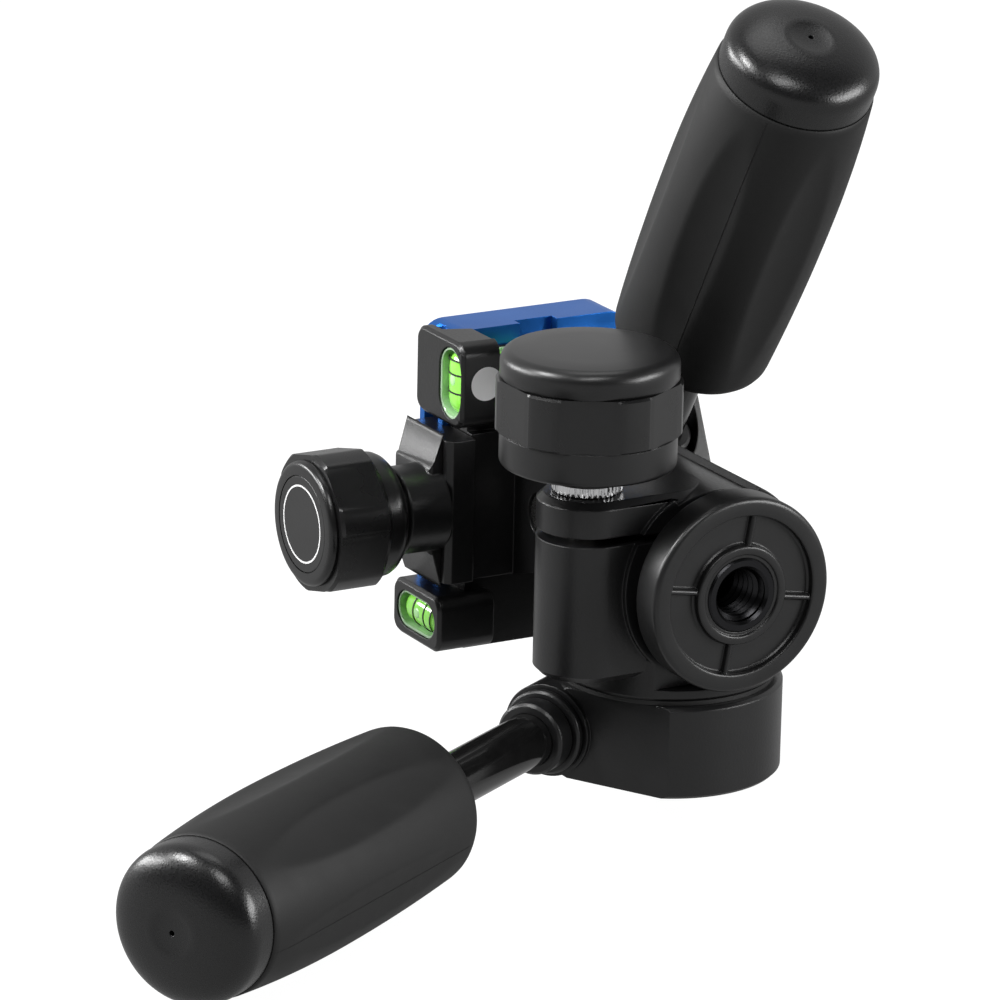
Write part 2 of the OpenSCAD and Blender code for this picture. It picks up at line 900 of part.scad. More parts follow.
module camera_plate() {
    half = plate_w / 2;
    color("royalblue")
    difference() {
        translate([plate_len / 2, 0, platform_z])
            rotate([90, 0, -90])
                linear_extrude(height = plate_len)
                    polygon([for (side = [1, -1])
                        each side > 0
                            ? [[-half + 1, 0], [-half, 0.6], [-half, lip_h], [-half + waist_in, waist_h],
                                [-half + waist_in, waist_h + 1.4], [-half, plate_t - 2.2],
                                [-half, plate_t - 0.5], [-half + 0.5, plate_t]]
                            : [[half - 0.5, plate_t], [half, plate_t - 0.5], [half, plate_t - 2.2],
                                [half - waist_in, waist_h + 1.4], [half - waist_in, waist_h],
                                [half, lip_h], [half, 0.6], [half - 1, 0]]]);
        translate([-plate_len / 2 - eps, -3.85, platform_z - eps])
            cube([plate_len + 2 * eps, 7.7, 2 + eps]);
        translate([0, 0, platform_z])
            cylinder(h = 20, r = camera_thread_d / 2 + 0.2);
        translate([0, 0, platform_z - eps])
            cylinder(h = 4.5 + eps, r = 8.4);
    }
}

module plate_pads() {
    color("black")
    for (x = [-19, 19])
        translate([x - 8, -15, platform_z + plate_t])
            cube([16, 30, 0.5]);
}

module camera_screw() {
    color("silver")
    translate([0, 0, platform_z]) {
        translate([0, 0, 1.2])
            cylinder(h = 3, r = 8);
        cylinder(h = plate_t + eps, r = screw_neck_r);
        translate([0, 0, plate_t])
            cylinder(h = camera_thread_len, r = camera_thread_d / 2);
    }
}

module camera_screw_ring() {
    color("silver")
    translate([0, 0, platform_z + 0.1])
        difference() {
            cylinder(h = 1, r = 7.6);
            translate([0, 0, -eps])
                cylinder(h = 2, r = 6.2);
            translate([-8, -1.5, -eps])
                cube([4, 3, 2]);
        }
}

base_flange();
thread_bush();
pan_spindle();
pan_friction_ring();
pan_housing();
pan_retaining_pin();
tilt_shaft();
tilt_washer();
tilt_keeper();
tilt_keeper_screw();
pan_knob_stud();
pan_knob_collar();
pan_knob_hub();
pan_knob_ring();
pan_knob_cap();
tilt_arm();
tilt_end_cover();
tilt_handle_thrust_ring();
tilt_handle_collar();
tilt_handle_rod();
tilt_handle_grip();
tilt_handle_cap();
platform();
lateral_shaft();
lateral_brake_shoe();
cross_handle_thrust_ring();
cross_handle_collar();
cross_handle_rod();
cross_handle_grip();
cross_handle_cap();
rear_level_vial();
side_level_vial();
end_level_vial();
blank_disc();
jaw_guide_pins();
moving_jaw();
clamp_screw();
clamp_knob_collar();
clamp_knob();
clamp_knob_disc();
camera_plate();
plate_pads();
camera_screw();
camera_screw_ring();
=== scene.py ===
# %% [markdown]
# # A three way pan tilt head
#
# This lesson dresses a tripod head that was drawn in CAD. The CAD model gives the pieces their sizes and places, and
# Blender adds what the eye reads as material: powder coat, moulded rubber, pebbled plastic and anodised metal. The
# nodes that stay keep their meshes and places. Others are replaced, and some of the new pieces differ from their
# solids by up to a few millimetres, which their cells say. The lesson starts by loading the model and noting the box
# that it fills.

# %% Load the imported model
import json
import math

import bmesh
import bpy
from mathutils import Matrix, Vector


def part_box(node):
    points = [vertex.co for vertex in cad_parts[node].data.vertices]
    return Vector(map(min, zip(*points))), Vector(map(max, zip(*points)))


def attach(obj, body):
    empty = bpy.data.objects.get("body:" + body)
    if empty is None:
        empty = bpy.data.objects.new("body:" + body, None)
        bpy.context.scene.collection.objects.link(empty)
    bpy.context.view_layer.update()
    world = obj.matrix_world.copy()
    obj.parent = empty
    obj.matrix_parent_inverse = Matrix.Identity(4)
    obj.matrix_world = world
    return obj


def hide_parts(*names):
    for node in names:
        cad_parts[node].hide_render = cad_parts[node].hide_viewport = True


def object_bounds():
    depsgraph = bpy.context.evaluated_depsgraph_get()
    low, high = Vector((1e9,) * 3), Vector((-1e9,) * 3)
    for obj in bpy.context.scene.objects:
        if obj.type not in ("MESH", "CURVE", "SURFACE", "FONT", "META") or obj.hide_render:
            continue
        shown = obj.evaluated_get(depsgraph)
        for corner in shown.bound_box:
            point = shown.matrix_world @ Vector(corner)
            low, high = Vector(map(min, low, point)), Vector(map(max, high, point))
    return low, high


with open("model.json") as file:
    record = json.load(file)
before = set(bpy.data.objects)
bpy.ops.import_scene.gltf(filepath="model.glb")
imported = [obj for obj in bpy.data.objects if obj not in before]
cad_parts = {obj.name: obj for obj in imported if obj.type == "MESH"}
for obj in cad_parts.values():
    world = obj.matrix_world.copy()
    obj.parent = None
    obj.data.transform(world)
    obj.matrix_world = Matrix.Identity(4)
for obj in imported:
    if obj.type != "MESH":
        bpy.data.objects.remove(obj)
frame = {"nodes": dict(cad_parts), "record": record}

MM = 0.001
cad_box = [list(corner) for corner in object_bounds()]
print("CAD box in mm:", [[round(v / MM, 1) for v in corner] for corner in cad_box])

# %% [markdown]
# ## The camera
#
# The photograph looks at the head from behind and from below, with the pan knob's side up. A long lens from a little
# over a metre gives the same mild perspective. The camera could be turned by three angles, but a place, a point to
# aim at and a direction that is up in the picture are easier to read and to change.

# %% Camera
EYE = Vector((342.2, -552.2, -888.8)) * MM
AIM = Vector((14.84, -34.2, 24.75)) * MM
UP_IN_PICTURE = Vector((0.9545, 0.1279, 0.2695))
SENSOR_MM = 36
LENS_MM = 230.7

BACK = (EYE - AIM).normalized()
RIGHT = UP_IN_PICTURE.cross(BACK).normalized()
UP = BACK.cross(RIGHT)


def add_camera(eye, lens):
    """Puts a camera at eye, turned so that its axes are the picture's right, up and back."""
    data = bpy.data.cameras.new("camera")
    data.sensor_width = SENSOR_MM
    data.lens = lens
    camera = bpy.data.objects.new("camera", data)
    camera.matrix_world = Matrix.Translation(eye) @ Matrix((RIGHT, UP, BACK)).transposed().to_4x4()
    bpy.context.scene.collection.objects.link(camera)
    bpy.context.scene.camera = camera
    return camera


add_camera(EYE, LENS_MM)
print("distance to the head in mm:", round((EYE - AIM).length / MM))

# %% [markdown]
# ## Shader maths in plain Python
#
# Node materials are quicker to read as formulas. A small class wraps the output of a node, and the usual operators on
# it add Math nodes. The reflected forms let a plain number stand first, as in 1 - mask. Every other node comes from
# one method that takes the node's type, its settings and its sockets.

# %% Signals
BEVEL_SAMPLES = 6


class Signal:
    """A number, colour or vector that changes over a surface."""

    def __init__(self, socket):
        self.socket = socket
        self.tree = socket.id_data

    def node(self, kind, settings=None, sockets=None, output=0):
        node = self.tree.nodes.new(kind)
        for name, value in (settings or {}).items():
            setattr(node, name, value)
        for name, value in (sockets or {}).items():
            plug(self.tree, node.inputs[name], value)
        return Signal(node.outputs[output])

    def math(self, operation, other=0.0, flipped=False):
        pair = (other, self) if flipped else (self, other)
        return self.node("ShaderNodeMath", {"operation": operation}, {0: pair[0], 1: pair[1]})

    def __add__(self, other):
        return self.math("ADD", other)

    __radd__ = __add__

    def __sub__(self, other):
        return self.math("SUBTRACT", other)

    def __rsub__(self, other):
        return self.math("SUBTRACT", other, flipped=True)

    def __mul__(self, other):
        return self.math("MULTIPLY", other)

    __rmul__ = __mul__

    def __gt__(self, other):
        return self.math("GREATER_THAN", other)

    def __lt__(self, other):
        return self.math("LESS_THAN", other)


def plug(tree, socket, value):
    """Links a signal to a socket, or sets the socket to a constant."""
    if isinstance(value, Signal):
        tree.links.new(value.socket, socket)
    else:
        socket.default_value = value


def new_material(name, **constants):
    """Makes a material with these constants, and returns it, its shader's sockets and its Object coordinates."""
    material = bpy.data.materials.new(name)
    material.use_nodes = True
    tree = material.node_tree
    shader = tree.nodes["Principled BSDF"]
    for socket, value in constants.items():
        shader.inputs[socket.replace("_", " ")].default_value = value
    place = Signal(tree.nodes.new("ShaderNodeTexCoord").outputs["Object"])
    return material, shader, place


def noise(place, size, detail=2.0):
    """Cloudy noise whose grains are about size metres wide."""
    return place.node("ShaderNodeTexNoise", {}, {"Vector": place, "Scale": 1 / size, "Detail": detail})


def blend(mask, first, second):
    """Mixes two colours by a mask between 0 and 1."""
    return mask.node("ShaderNodeMix", {"data_type": "RGBA"}, {"Factor": mask, 6: first, 7: second}, output=2)


def relief(shader, height, depth, edge=0.0):
    """Feeds a height between 0 and 1 to the shader's Normal, depth metres deep, over edges rounded by edge metres."""
    sockets = {"Height": height, "Distance": depth, "Strength": 1.0}
    if edge:
        sockets["Normal"] = height.node("ShaderNodeBevel", {"samples": BEVEL_SAMPLES}, {"Radius": edge})
    plug(height.tree, shader.inputs["Normal"], height.node("ShaderNodeBump", {}, sockets))


print("shader helpers are ready")

# %% [markdown]
# ## Blacks that differ
#
# Nearly all of the head is black, so its pieces are told apart by gloss and grain alone. The castings have a fine
# powder coat, the knobs are moulded with a soft sheen, the caps have small glossy pebbles, and the rods are smooth
# gloss paint. Each finish below changes only the roughness and the height that reaches the Bump node.

# %% Black finishes
def coated_casting():
    material, shader, place = new_material("coated_casting", Metallic=0.0)
    grain = noise(place, 0.5 * MM, 3.0)
    cloud = noise(place, 9 * MM)
    plug(place.tree, shader.inputs["Base Color"], blend(cloud, (0.004, 0.004, 0.0042, 1), (0.009, 0.009, 0.0095, 1)))
    plug(place.tree, shader.inputs["Roughness"], 0.27 + 0.14 * grain)
    relief(shader, grain, 0.02 * MM, 0.35 * MM)
    return material


def moulded_plastic():
    material, shader, place = new_material("moulded_plastic")
    grain = noise(place, 0.35 * MM, 3.0)
    cloud = noise(place, 7 * MM)
    plug(place.tree, shader.inputs["Base Color"], blend(cloud, (0.004, 0.004, 0.0042, 1), (0.008, 0.008, 0.0085, 1)))
    plug(place.tree, shader.inputs["Roughness"], 0.3 + 0.12 * grain)
    relief(shader, grain, 0.012 * MM, 0.3 * MM)
    return material


def pebbled_plastic():
    material, shader, place = new_material("pebbled_plastic")
    pebbles = place.node("ShaderNodeTexVoronoi", {"feature": "F1"}, {"Vector": place, "Scale": 1 / (0.45 * MM)})
    cloud = noise(place, 8 * MM)
    plug(place.tree, shader.inputs["Base Color"], blend(cloud, (0.004, 0.004, 0.0042, 1), (0.007, 0.007, 0.0075, 1)))
    plug(place.tree, shader.inputs["Roughness"], 0.24 + 0.1 * pebbles)
    relief(shader, 1 - pebbles, 0.014 * MM, 0.3 * MM)
    return material


def smooth_plastic():
    material, shader, place = new_material("smooth_plastic")
    cloud = noise(place, 6 * MM)
    grain = noise(place, 0.4 * MM, 3.0)
    plug(place.tree, shader.inputs["Base Color"], blend(cloud, (0.006, 0.006, 0.006, 1), (0.011, 0.011, 0.0115, 1)))
    plug(place.tree, shader.inputs["Roughness"], 0.3 + 0.06 * cloud)
    relief(shader, grain, 0.006 * MM, 0.3 * MM)
    return material


def gloss_plastic():
    material, shader, place = new_material("gloss_plastic")
    cloud = noise(place, 6 * MM)
    plug(place.tree, shader.inputs["Base Color"], blend(cloud, (0.005, 0.005, 0.005, 1), (0.009, 0.009, 0.0095, 1)))
    plug(place.tree, shader.inputs["Roughness"], 0.24 + 0.08 * cloud)
    relief(shader, noise(place, 1.2 * MM), 0.006 * MM)
    return material


def gloss_paint():
    material, shader, place = new_material("gloss_paint")
    ripple = noise(place, 2.5 * MM)
    plug(place.tree, shader.inputs["Base Color"], blend(ripple, (0.004, 0.004, 0.004, 1), (0.008, 0.008, 0.008, 1)))
    plug(place.tree, shader.inputs["Roughness"], 0.1 + 0.08 * ripple)
    relief(shader, ripple, 0.006 * MM)
    return material


def grip_rubber():
    material, shader, place = new_material("grip_rubber", Specular_IOR_Level=0.36)
    grain = noise(place, 0.3 * MM, 4.0)
    streak = noise(place, 5 * MM, 3.0)
    plug(place.tree, shader.inputs["Base Color"], blend(streak, (0.0045, 0.0045, 0.0045, 1), (0.009, 0.009, 0.009, 1)))
    plug(place.tree, shader.inputs["Roughness"], 0.5 + 0.16 * streak)
    relief(shader, grain, 0.015 * MM)
    return material


BLACK_MAKERS = (coated_casting, moulded_plastic, pebbled_plastic, smooth_plastic, gloss_plastic, gloss_paint,
                grip_rubber)
BLACKS = {make.__name__: make() for make in BLACK_MAKERS}
print("black finishes:", ", ".join(BLACKS))

# %% [markdown]
# ## Bare and coloured metal
#
# Turned steel has fine rings round its axis, which a stretched noise imitates well enough at this size. The camera
# plate is blasted and anodised blue: a metal whose base colour is strong and whose grain is very small.

# %% Metals
def turned_metal(name, colour, rough, size=0.25 * MM):
    material, shader, place = new_material(name, Metallic=1.0)
    rings = noise(place, size, 2.0)
    cloud = noise(place, 4 * MM)
    darker = tuple(0.8 * c for c in colour) + (1,)
    plug(place.tree, shader.inputs["Base Color"], blend(cloud, darker, colour + (1,)))
    plug(place.tree, shader.inputs["Roughness"], rough + 0.1 * rings)
    relief(shader, rings, 0.004 * MM)
    return material


def blue_anodising():
    material, shader, place = new_material("blue_anodising", Metallic=0.9)
    grain = noise(place, 0.2 * MM, 3.0)
    cloud = noise(place, 12 * MM)
    plug(place.tree, shader.inputs["Base Color"], blend(cloud, (0.014, 0.12, 0.46, 1), (0.024, 0.18, 0.62, 1)))
    plug(place.tree, shader.inputs["Roughness"], 0.28 + 0.14 * grain)
    relief(shader, grain, 0.008 * MM, 0.2 * MM)
    return material


METALS = {
    "steel": turned_metal("steel", (0.55, 0.54, 0.52), 0.22),
    "chrome": turned_metal("chrome", (0.72, 0.72, 0.73), 0.08),
    "brass": turned_metal("brass", (0.72, 0.52, 0.22), 0.25),
    "dark_bush": turned_metal("dark_bush", (0.03, 0.03, 0.032), 0.25),
    "blue_anodising": blue_anodising(),
}
print("metals:", ", ".join(METALS))

# %% [markdown]
# ## Level vials and small plain parts
#
# A vial is a clear green liquid behind a clear window. Real refraction in so small a piece costs much time and shows
# little, so the green body has a faint painted glow in place of the light that passes through it, and carries a clear
# coat, which gives the wet highlight.

# %% Vial and plain finishes
def vial_green():
    material, shader, place = new_material("vial_green", Roughness=0.12, Coat_Weight=1.0, Coat_Roughness=0.03)
    cloud = noise(place, 3 * MM)
    colour = blend(cloud, (0.22, 0.75, 0.06, 1), (0.38, 0.95, 0.12, 1))
    plug(place.tree, shader.inputs["Base Color"], colour)
    # painted glow: a faint emission in the vial's own green stands in for light passing through the liquid
    plug(place.tree, shader.inputs["Emission Color"], colour)
    shader.inputs["Emission Strength"].default_value = 0.12
    return material


def plain(name, low, high, rough):
    material, shader, place = new_material(name)
    cloud = noise(place, 3 * MM)
    plug(place.tree, shader.inputs["Base Color"], blend(cloud, low + (1,), high + (1,)))
    plug(place.tree, shader.inputs["Roughness"], rough + 0.1 * cloud)
    relief(shader, noise(place, 0.3 * MM), 0.006 * MM)
    return material


PLAINS = {
    "vial_green": vial_green(),
    "vial_rim": plain("vial_rim", (0.30, 0.45, 0.28), (0.42, 0.58, 0.40), 0.12),
    "vial_bubble": plain("vial_bubble", (0.45, 0.85, 0.35), (0.55, 0.92, 0.45), 0.08),
    "white_label": plain("white_label", (0.78, 0.78, 0.78), (0.84, 0.84, 0.84), 0.45),
    "black_nylon": plain("black_nylon", (0.008, 0.008, 0.008), (0.014, 0.014, 0.014), 0.5),
}
FINISHES = {**BLACKS, **METALS, **PLAINS}
print("finishes in all:", len(FINISHES))

# %% [markdown]
# ## Giving each piece its finish
#
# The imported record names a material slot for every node, so one table from slot to finish covers them all. A node
# keeps its mesh, and only the material in its slots changes.

# %% Finish per slot
SLOT_FINISH = {
    "black_cast": "coated_casting", "black_satin": "moulded_plastic", "black_gloss": "pebbled_plastic",
    "black_rod": "gloss_paint", "grip_rubber": "grip_rubber", "steel": "steel", "chrome": "chrome",
    "bush_black": "dark_bush", "brass": "brass", "nylon": "black_nylon", "blue": "blue_anodising",
    "vial_green": "vial_green", "white": "white_label", "pad_rubber": "grip_rubber",
}
NODE_SLOT = {part["node"]: part["material_slot"] for part in frame["record"]["subparts"]}
for name, node in frame["nodes"].items():
    for slot in node.material_slots:
        slot.material = FINISHES[SLOT_FINISH[NODE_SLOT[name]]]
print("finished nodes:", len(NODE_SLOT))

# %% [markdown]
# ## Adding pieces
#
# Every added piece is drawn in millimetres, in a handy position of its own. One function scales it, turns it into
# place, gives it a finish and lets it ride on the body that carries it. Where it stands for a CAD node, that node is
# hidden.

# %% Piece helpers
def frame_of(origin, z_axis, x_axis):
    """A matrix from a local drawing in mm to the head's frame in metres."""
    z_axis = Vector(z_axis).normalized()
    x_axis = Vector(x_axis).normalized()
    y_axis = z_axis.cross(x_axis)
    turn = Matrix((x_axis, y_axis, z_axis)).transposed().to_4x4()
    return Matrix.Translation(Vector(origin) * MM) @ turn @ Matrix.Scale(MM, 4)


def add_piece(name, shape, place, body, finish, replaces=(), smooth=30):
    bmesh.ops.recalc_face_normals(shape, faces=shape.faces)
    bmesh.ops.transform(shape, matrix=place, verts=shape.verts)
    for edge in shape.edges:
        edge.smooth = len(edge.link_faces) == 2 and edge.calc_face_angle() < math.radians(smooth)
    for face in shape.faces:
        face.smooth = True
    mesh = bpy.data.meshes.new(name)
    shape.to_mesh(mesh)
    shape.free()
    mesh.materials.append(FINISHES[finish])
    piece = bpy.data.objects.new(name, mesh)
    bpy.context.scene.collection.objects.link(piece)
    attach(piece, body)
    if replaces:
        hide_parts(*replaces)
    print(f"{name}: {len(mesh.polygons)} faces on {body}")
    return piece


def lathe(outline, steps=96, shape=None):
    """Spins an outline of (radius, height) pairs round the local Z axis."""
    turned = bmesh.new()
    verts = [turned.verts.new((r, 0, z)) for r, z in outline]
    edges = [turned.edges.new(pair) for pair in zip(verts, verts[1:])]
    bmesh.ops.spin(turned, geom=verts + edges, axis=(0, 0, 1), cent=(0, 0, 0), steps=steps,
                   angle=math.tau, use_merge=True)
    bmesh.ops.remove_doubles(turned, verts=turned.verts, dist=1e-4)
    return turned if shape is None else join(shape, turned)


def join(shape, other):
    """Adds a second bmesh to the first."""
    carrier = bpy.data.meshes.new("carrier")
    other.to_mesh(carrier)
    other.free()
    shape.from_mesh(carrier)
    bpy.data.meshes.remove(carrier)
    return shape


def stretch(shape, by):
    """Moves the two halves of a shape apart along X, which makes an oblong of a round."""
    for vert in shape.verts:
        vert.co.x += math.copysign(by / 2, vert.co.x) if abs(vert.co.x) > 1e-6 else 0
    return shape


def polar(vert):
    return math.hypot(vert.co.x, vert.co.y), math.atan2(vert.co.y, vert.co.x)


def set_polar(vert, r, angle):
    vert.co.x, vert.co.y = r * math.cos(angle), r * math.sin(angle)


def thread_ridge(root, crest, pitch, z0, z1, per_turn=36):
    """A V-shaped ridge wound round the local Z axis, which fades in and out over half a turn."""
    turns = (z1 - z0) / pitch - 1
    steps = round(turns * per_turn)
    ridge = bmesh.new()
    profile = ((root, -0.46), (crest, -0.07), (crest, 0.07), (root, 0.46))
    verts = [ridge.verts.new((r, 0, z0 + pitch / 2 + dz * pitch)) for r, dz in profile]
    edges = [ridge.edges.new((verts[i], verts[i - 1])) for i in range(4)]
    bmesh.ops.spin(ridge, geom=verts + edges, axis=(0, 0, 1), cent=(0, 0, 0), dvec=(0, 0, pitch / per_turn),
                   angle=math.tau * steps / per_turn, steps=steps)
    bmesh.ops.holes_fill(ridge, edges=[edge for edge in ridge.edges if edge.is_boundary], sides=4)
    for vert in ridge.verts:
        r, angle = polar(vert)
        near_end = min(vert.co.z - z0, z1 - vert.co.z)
        fade = min(max(near_end / pitch, 0.05), 1)
        set_polar(vert, root + (r - root) * fade, angle)
    return ridge


def reshaped(node, move):
    """A copy of a CAD node in mm, with each point moved by a function of its place."""
    copy = bmesh.new()
    copy.from_mesh(frame["nodes"][node].data)
    bmesh.ops.remove_doubles(copy, verts=copy.verts, dist=1e-6)
    bmesh.ops.scale(copy, vec=(1 / MM, 1 / MM, 1 / MM), verts=copy.verts)
    for vert in copy.verts:
        vert.co = Vector(move(*vert.co))
    return copy


def centre_and_size(node):
    low, high = (Vector(corner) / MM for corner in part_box(node))
    return (low + high) / 2, high - low


IN_PLACE = frame_of((0, 0, 0), (0, 0, 1), (1, 0, 0))
print("piece helpers are ready")

# %% [markdown]
# ## The grips
#
# A grip is a barrel of rubber with six flutes, and a flute is a shallow cut by a large cylinder beside the handle's
# axis. The barrel is spun from its outline, and each of its points then moves in to the flute's cylinder where that
# lies nearer to the axis. A smooth minimum of the two rounds the edge where they meet, as the mould does. A bar too
# low to see except by its highlight lies along the grip on both sides, where the two halves of the mould met. The
# grips are 2 mm longer than their solids and a little fuller, and the tilt handle's seam is 1.3 mm nearer to the head.

# %% Grips
GRIP_LENGTH, GRIP_LIP, NOSE = 64, 0.3, 3
BARREL_LENGTH = GRIP_LENGTH - NOSE - GRIP_LIP
SEAM_R, FULL_R, INNER_R = 14, 15.4, 14.3
PEAK = 0.45
FLUTES, FLUTE_R, FLUTE_DEPTH = 6, 24, 1.0
EDGE_SOFTNESS = 0.2
SKIN_R = 10.5
RINGS = 52
LINE_START, LINE_HEIGHT, LINE_DEPTH, LINE_TOP, LINE_FOOT = 0.5, 0.07, 0.2, 0.1, 0.26


def barrel(t):
    """Radius of the grip without its flutes, from the seam at 0 to the inner end at 1."""
    if t < PEAK:
        return FULL_R - (FULL_R - SEAM_R) * (1 - t / PEAK) ** 2
    return FULL_R - (FULL_R - INNER_R) * ((t - PEAK) / (1 - PEAK)) ** 2


def flute_radius(angle, phase):
    """Distance from the handle's axis to the nearest flute's cylinder, in the direction angle."""
    step = math.tau / FLUTES
    off = (angle - phase + step / 2) % step - step / 2
    far = FULL_R - FLUTE_DEPTH + FLUTE_R
    across = far * math.sin(off)
    if abs(across) >= FLUTE_R:
        return far
    return far * math.cos(off) - math.sqrt(FLUTE_R ** 2 - across ** 2)


def soft_min(a, b):
    """The smaller of two radii, with the edge between them rounded."""
    overlap = max(EDGE_SOFTNESS - abs(a - b), 0) / EDGE_SOFTNESS
    return min(a, b) - overlap * overlap * EDGE_SOFTNESS / 4


def grip_shape(phase):
    outline = [(0, 0), (SEAM_R - GRIP_LIP, 0)]
    outline += [(barrel(k / RINGS), GRIP_LIP + BARREL_LENGTH * k / RINGS) for k in range(RINGS + 1)]
    for degrees in range(15, 91, 15):
        turn = math.radians(degrees)
        outline.append((INNER_R - NOSE * (1 - math.cos(turn)), GRIP_LENGTH - NOSE * (1 - math.sin(turn))))
    outline.append((0, GRIP_LENGTH))
    shape = lathe(outline, 180)
    for vert in shape.verts:
        r, angle = polar(vert)
        if r > SKIN_R:
            t = min(max((vert.co.z - GRIP_LIP) / BARREL_LENGTH, 0), 1)
            full = barrel(t)
            set_polar(vert, r - full + soft_min(full, flute_radius(angle, phase)), angle)
    return shape


def parting_line(phase, angle):
    """A thin bar along the grip's skin, half sunk in it."""
    bar = bmesh.new()
    bmesh.ops.create_cube(bar, size=1.0)
    along = [edge for edge in bar.edges if abs(edge.verts[0].co.z - edge.verts[1].co.z) > 0.5]
    bmesh.ops.subdivide_edges(bar, edges=along, cuts=RINGS)
    for vert in bar.verts:
        t = vert.co.z + 0.5
        top = vert.co.x > 0
        skin = soft_min(barrel(t), flute_radius(angle, phase))
        out, width = (LINE_HEIGHT, LINE_TOP) if top else (-LINE_DEPTH, LINE_FOOT)
        set_polar(vert, skin + out, angle + vert.co.y * width / skin)
        vert.co.z = LINE_START + (GRIP_LENGTH - NOSE - 2 * LINE_START) * t
    return bar


HANDLES = {
    "tilt": {"at": (-29.48, -6.65, 36.168), "out": (0, -0.866, -0.5), "x": (1, 0, 0), "seam": 127.6,
             "phase": 15.6, "line": 75},
    "cross": {"at": (0, 12, 59.1), "out": (0.866, 0, -0.5), "x": (-0.5, 0, -0.866), "seam": 102.3,
              "phase": 2.5, "line": -47.5},
}
for name, handle in HANDLES.items():
    out = Vector(handle["out"]).normalized()
    handle["seam_at"] = Vector(handle["at"]) + out * handle["seam"]
    # the drawing starts at the seam and runs inwards, so a turn about the handle is counted the other way
    place = frame_of(handle["seam_at"], -out, handle["x"])
    phase, line = -math.radians(handle["phase"]), -math.radians(handle["line"])
    shape = grip_shape(phase)
    for side in (line, line + math.pi):
        join(shape, parting_line(phase, side))
    add_piece(f"{name}_grip_rubber", shape, place, f"{name}_handle", "grip_rubber",
              replaces=(f"{name}_handle_grip",), smooth=40)

# %% [markdown]
# ## The end caps
#
# Each grip ends in a cap of hard plastic: a short wall, a full dome and a flat middle with a vent hole. The dome is
# an ellipse with a fuller shoulder, so its outline is a superellipse, spun once. The cap stands back from the rubber
# a little, which leaves the dark line between the two. Its wall is 0.4 mm nearer to the axis than its solid's.

# %% Caps
CAP_R, CAP_HEIGHT, CAP_WALL = 13.65, 9.1, 3
FULLNESS = 0.76
VENT_R, VENT_DEPTH = 0.5, 2
FLAT_R, FLAT_SLOPE, FLAT_SUNK = 3.9, 0.3, 0.1
CAP_LIP = 0.3

for name, handle in HANDLES.items():
    outline = [(0, CAP_HEIGHT - VENT_DEPTH), (VENT_R, CAP_HEIGHT - VENT_DEPTH), (VENT_R, CAP_HEIGHT - FLAT_SUNK - 0.02),
               (FLAT_R - FLAT_SLOPE, CAP_HEIGHT - FLAT_SUNK), (FLAT_R, CAP_HEIGHT)]
    for degrees in range(74, -1, -3):
        turn = math.radians(degrees)
        outline.append((CAP_R * math.cos(turn) ** FULLNESS,
                        CAP_WALL + (CAP_HEIGHT - CAP_WALL) * math.sin(turn) ** FULLNESS))
    outline += [(CAP_R, CAP_LIP), (CAP_R - CAP_LIP, 0), (CAP_R - CAP_LIP, -CAP_LIP), (0, -CAP_LIP)]
    add_piece(f"{name}_end_cap", lathe(outline, 128), frame_of(handle["seam_at"], handle["out"], handle["x"]),
              f"{name}_handle", "pebbled_plastic", replaces=(f"{name}_handle_cap",), smooth=45)

# %% [markdown]
# ## Threads
#
# The hole in the base takes a three eighths inch stud with 16 threads to the inch, and the camera screw has a
# quarter inch thread with 20. A spin that also climbs by a step of dvec winds a V-shaped profile into a screw
# thread. Thread sizes are still inches, so the pitch is 25.4 mm over the threads to the inch. The ridge in the base
# lies in a bore that is wider than the solid's, so its crest comes near the solid's wall.

# %% Threads
INCH = 25.4
BORE_ROOT_R, BORE_CREST_R, BORE_START, BORE_END = 4.84, 4.05, 0.4, 11.9
thread = thread_ridge(BORE_ROOT_R, BORE_CREST_R, INCH / 16, BORE_START, BORE_END)
add_piece("tripod_thread_ridge", thread, IN_PLACE, "base", "dark_bush")

screw_mid, screw_size = centre_and_size("camera_screw")
foot = screw_mid.z - screw_size.z / 2
tip = screw_size.z
STUD_ROOT_R, STUD_CREST_R, STUD_LENGTH, STUD_END = 2.43, 3.08, 5.2, 0.05
ridge = thread_ridge(STUD_ROOT_R, STUD_CREST_R, INCH / 20, tip - STUD_LENGTH, tip - STUD_END)
add_piece("camera_screw_thread", ridge, frame_of((screw_mid.x, screw_mid.y, foot), (0, 0, 1), (1, 0, 0)),
          "camera_screw", "steel")

# %% [markdown]
# ## A knurled collar
#
# Under the pan knob sits a bright collar with straight flutes. It is spun from its wall's outline in four steps for
# each tooth, and half of the steps are then pressed in. It is 1 mm shorter than its solid and 1.6 mm nearer to the
# housing. The knob's pieces share one axis, along X, so a function gives the place of each.

# %% Knurled collar
TEETH = 40
TOOTH_DEPTH = 0.22
CHAMFER = 0.3
KNOB_BORE_R = 3.1
KNOB_AXIS_Y, KNOB_AXIS_Z = -20.5, 18.7
COLLAR_X, COLLAR_R, COLLAR_LENGTH = 16.6, 6.1, 2.2


def on_knob_axis(x):
    return frame_of((x, KNOB_AXIS_Y, KNOB_AXIS_Z), (1, 0, 0), (0, 1, 0))


collar = lathe([(KNOB_BORE_R, 0), (COLLAR_R - CHAMFER, 0), (COLLAR_R, CHAMFER), (COLLAR_R, COLLAR_LENGTH - CHAMFER),
                (COLLAR_R - CHAMFER, COLLAR_LENGTH), (KNOB_BORE_R, COLLAR_LENGTH), (KNOB_BORE_R, 0)], TEETH * 4)
for vert in collar.verts:
    r, angle = polar(vert)
    if r > COLLAR_R - 0.05 and round(angle / math.tau * TEETH * 4) % 4 < 2:
        set_polar(vert, r - TOOTH_DEPTH, angle)
add_piece("pan_knob_knurled_collar", collar, on_knob_axis(COLLAR_X), "pan_knob", "chrome",
          replaces=("pan_knob_collar",), smooth=25)

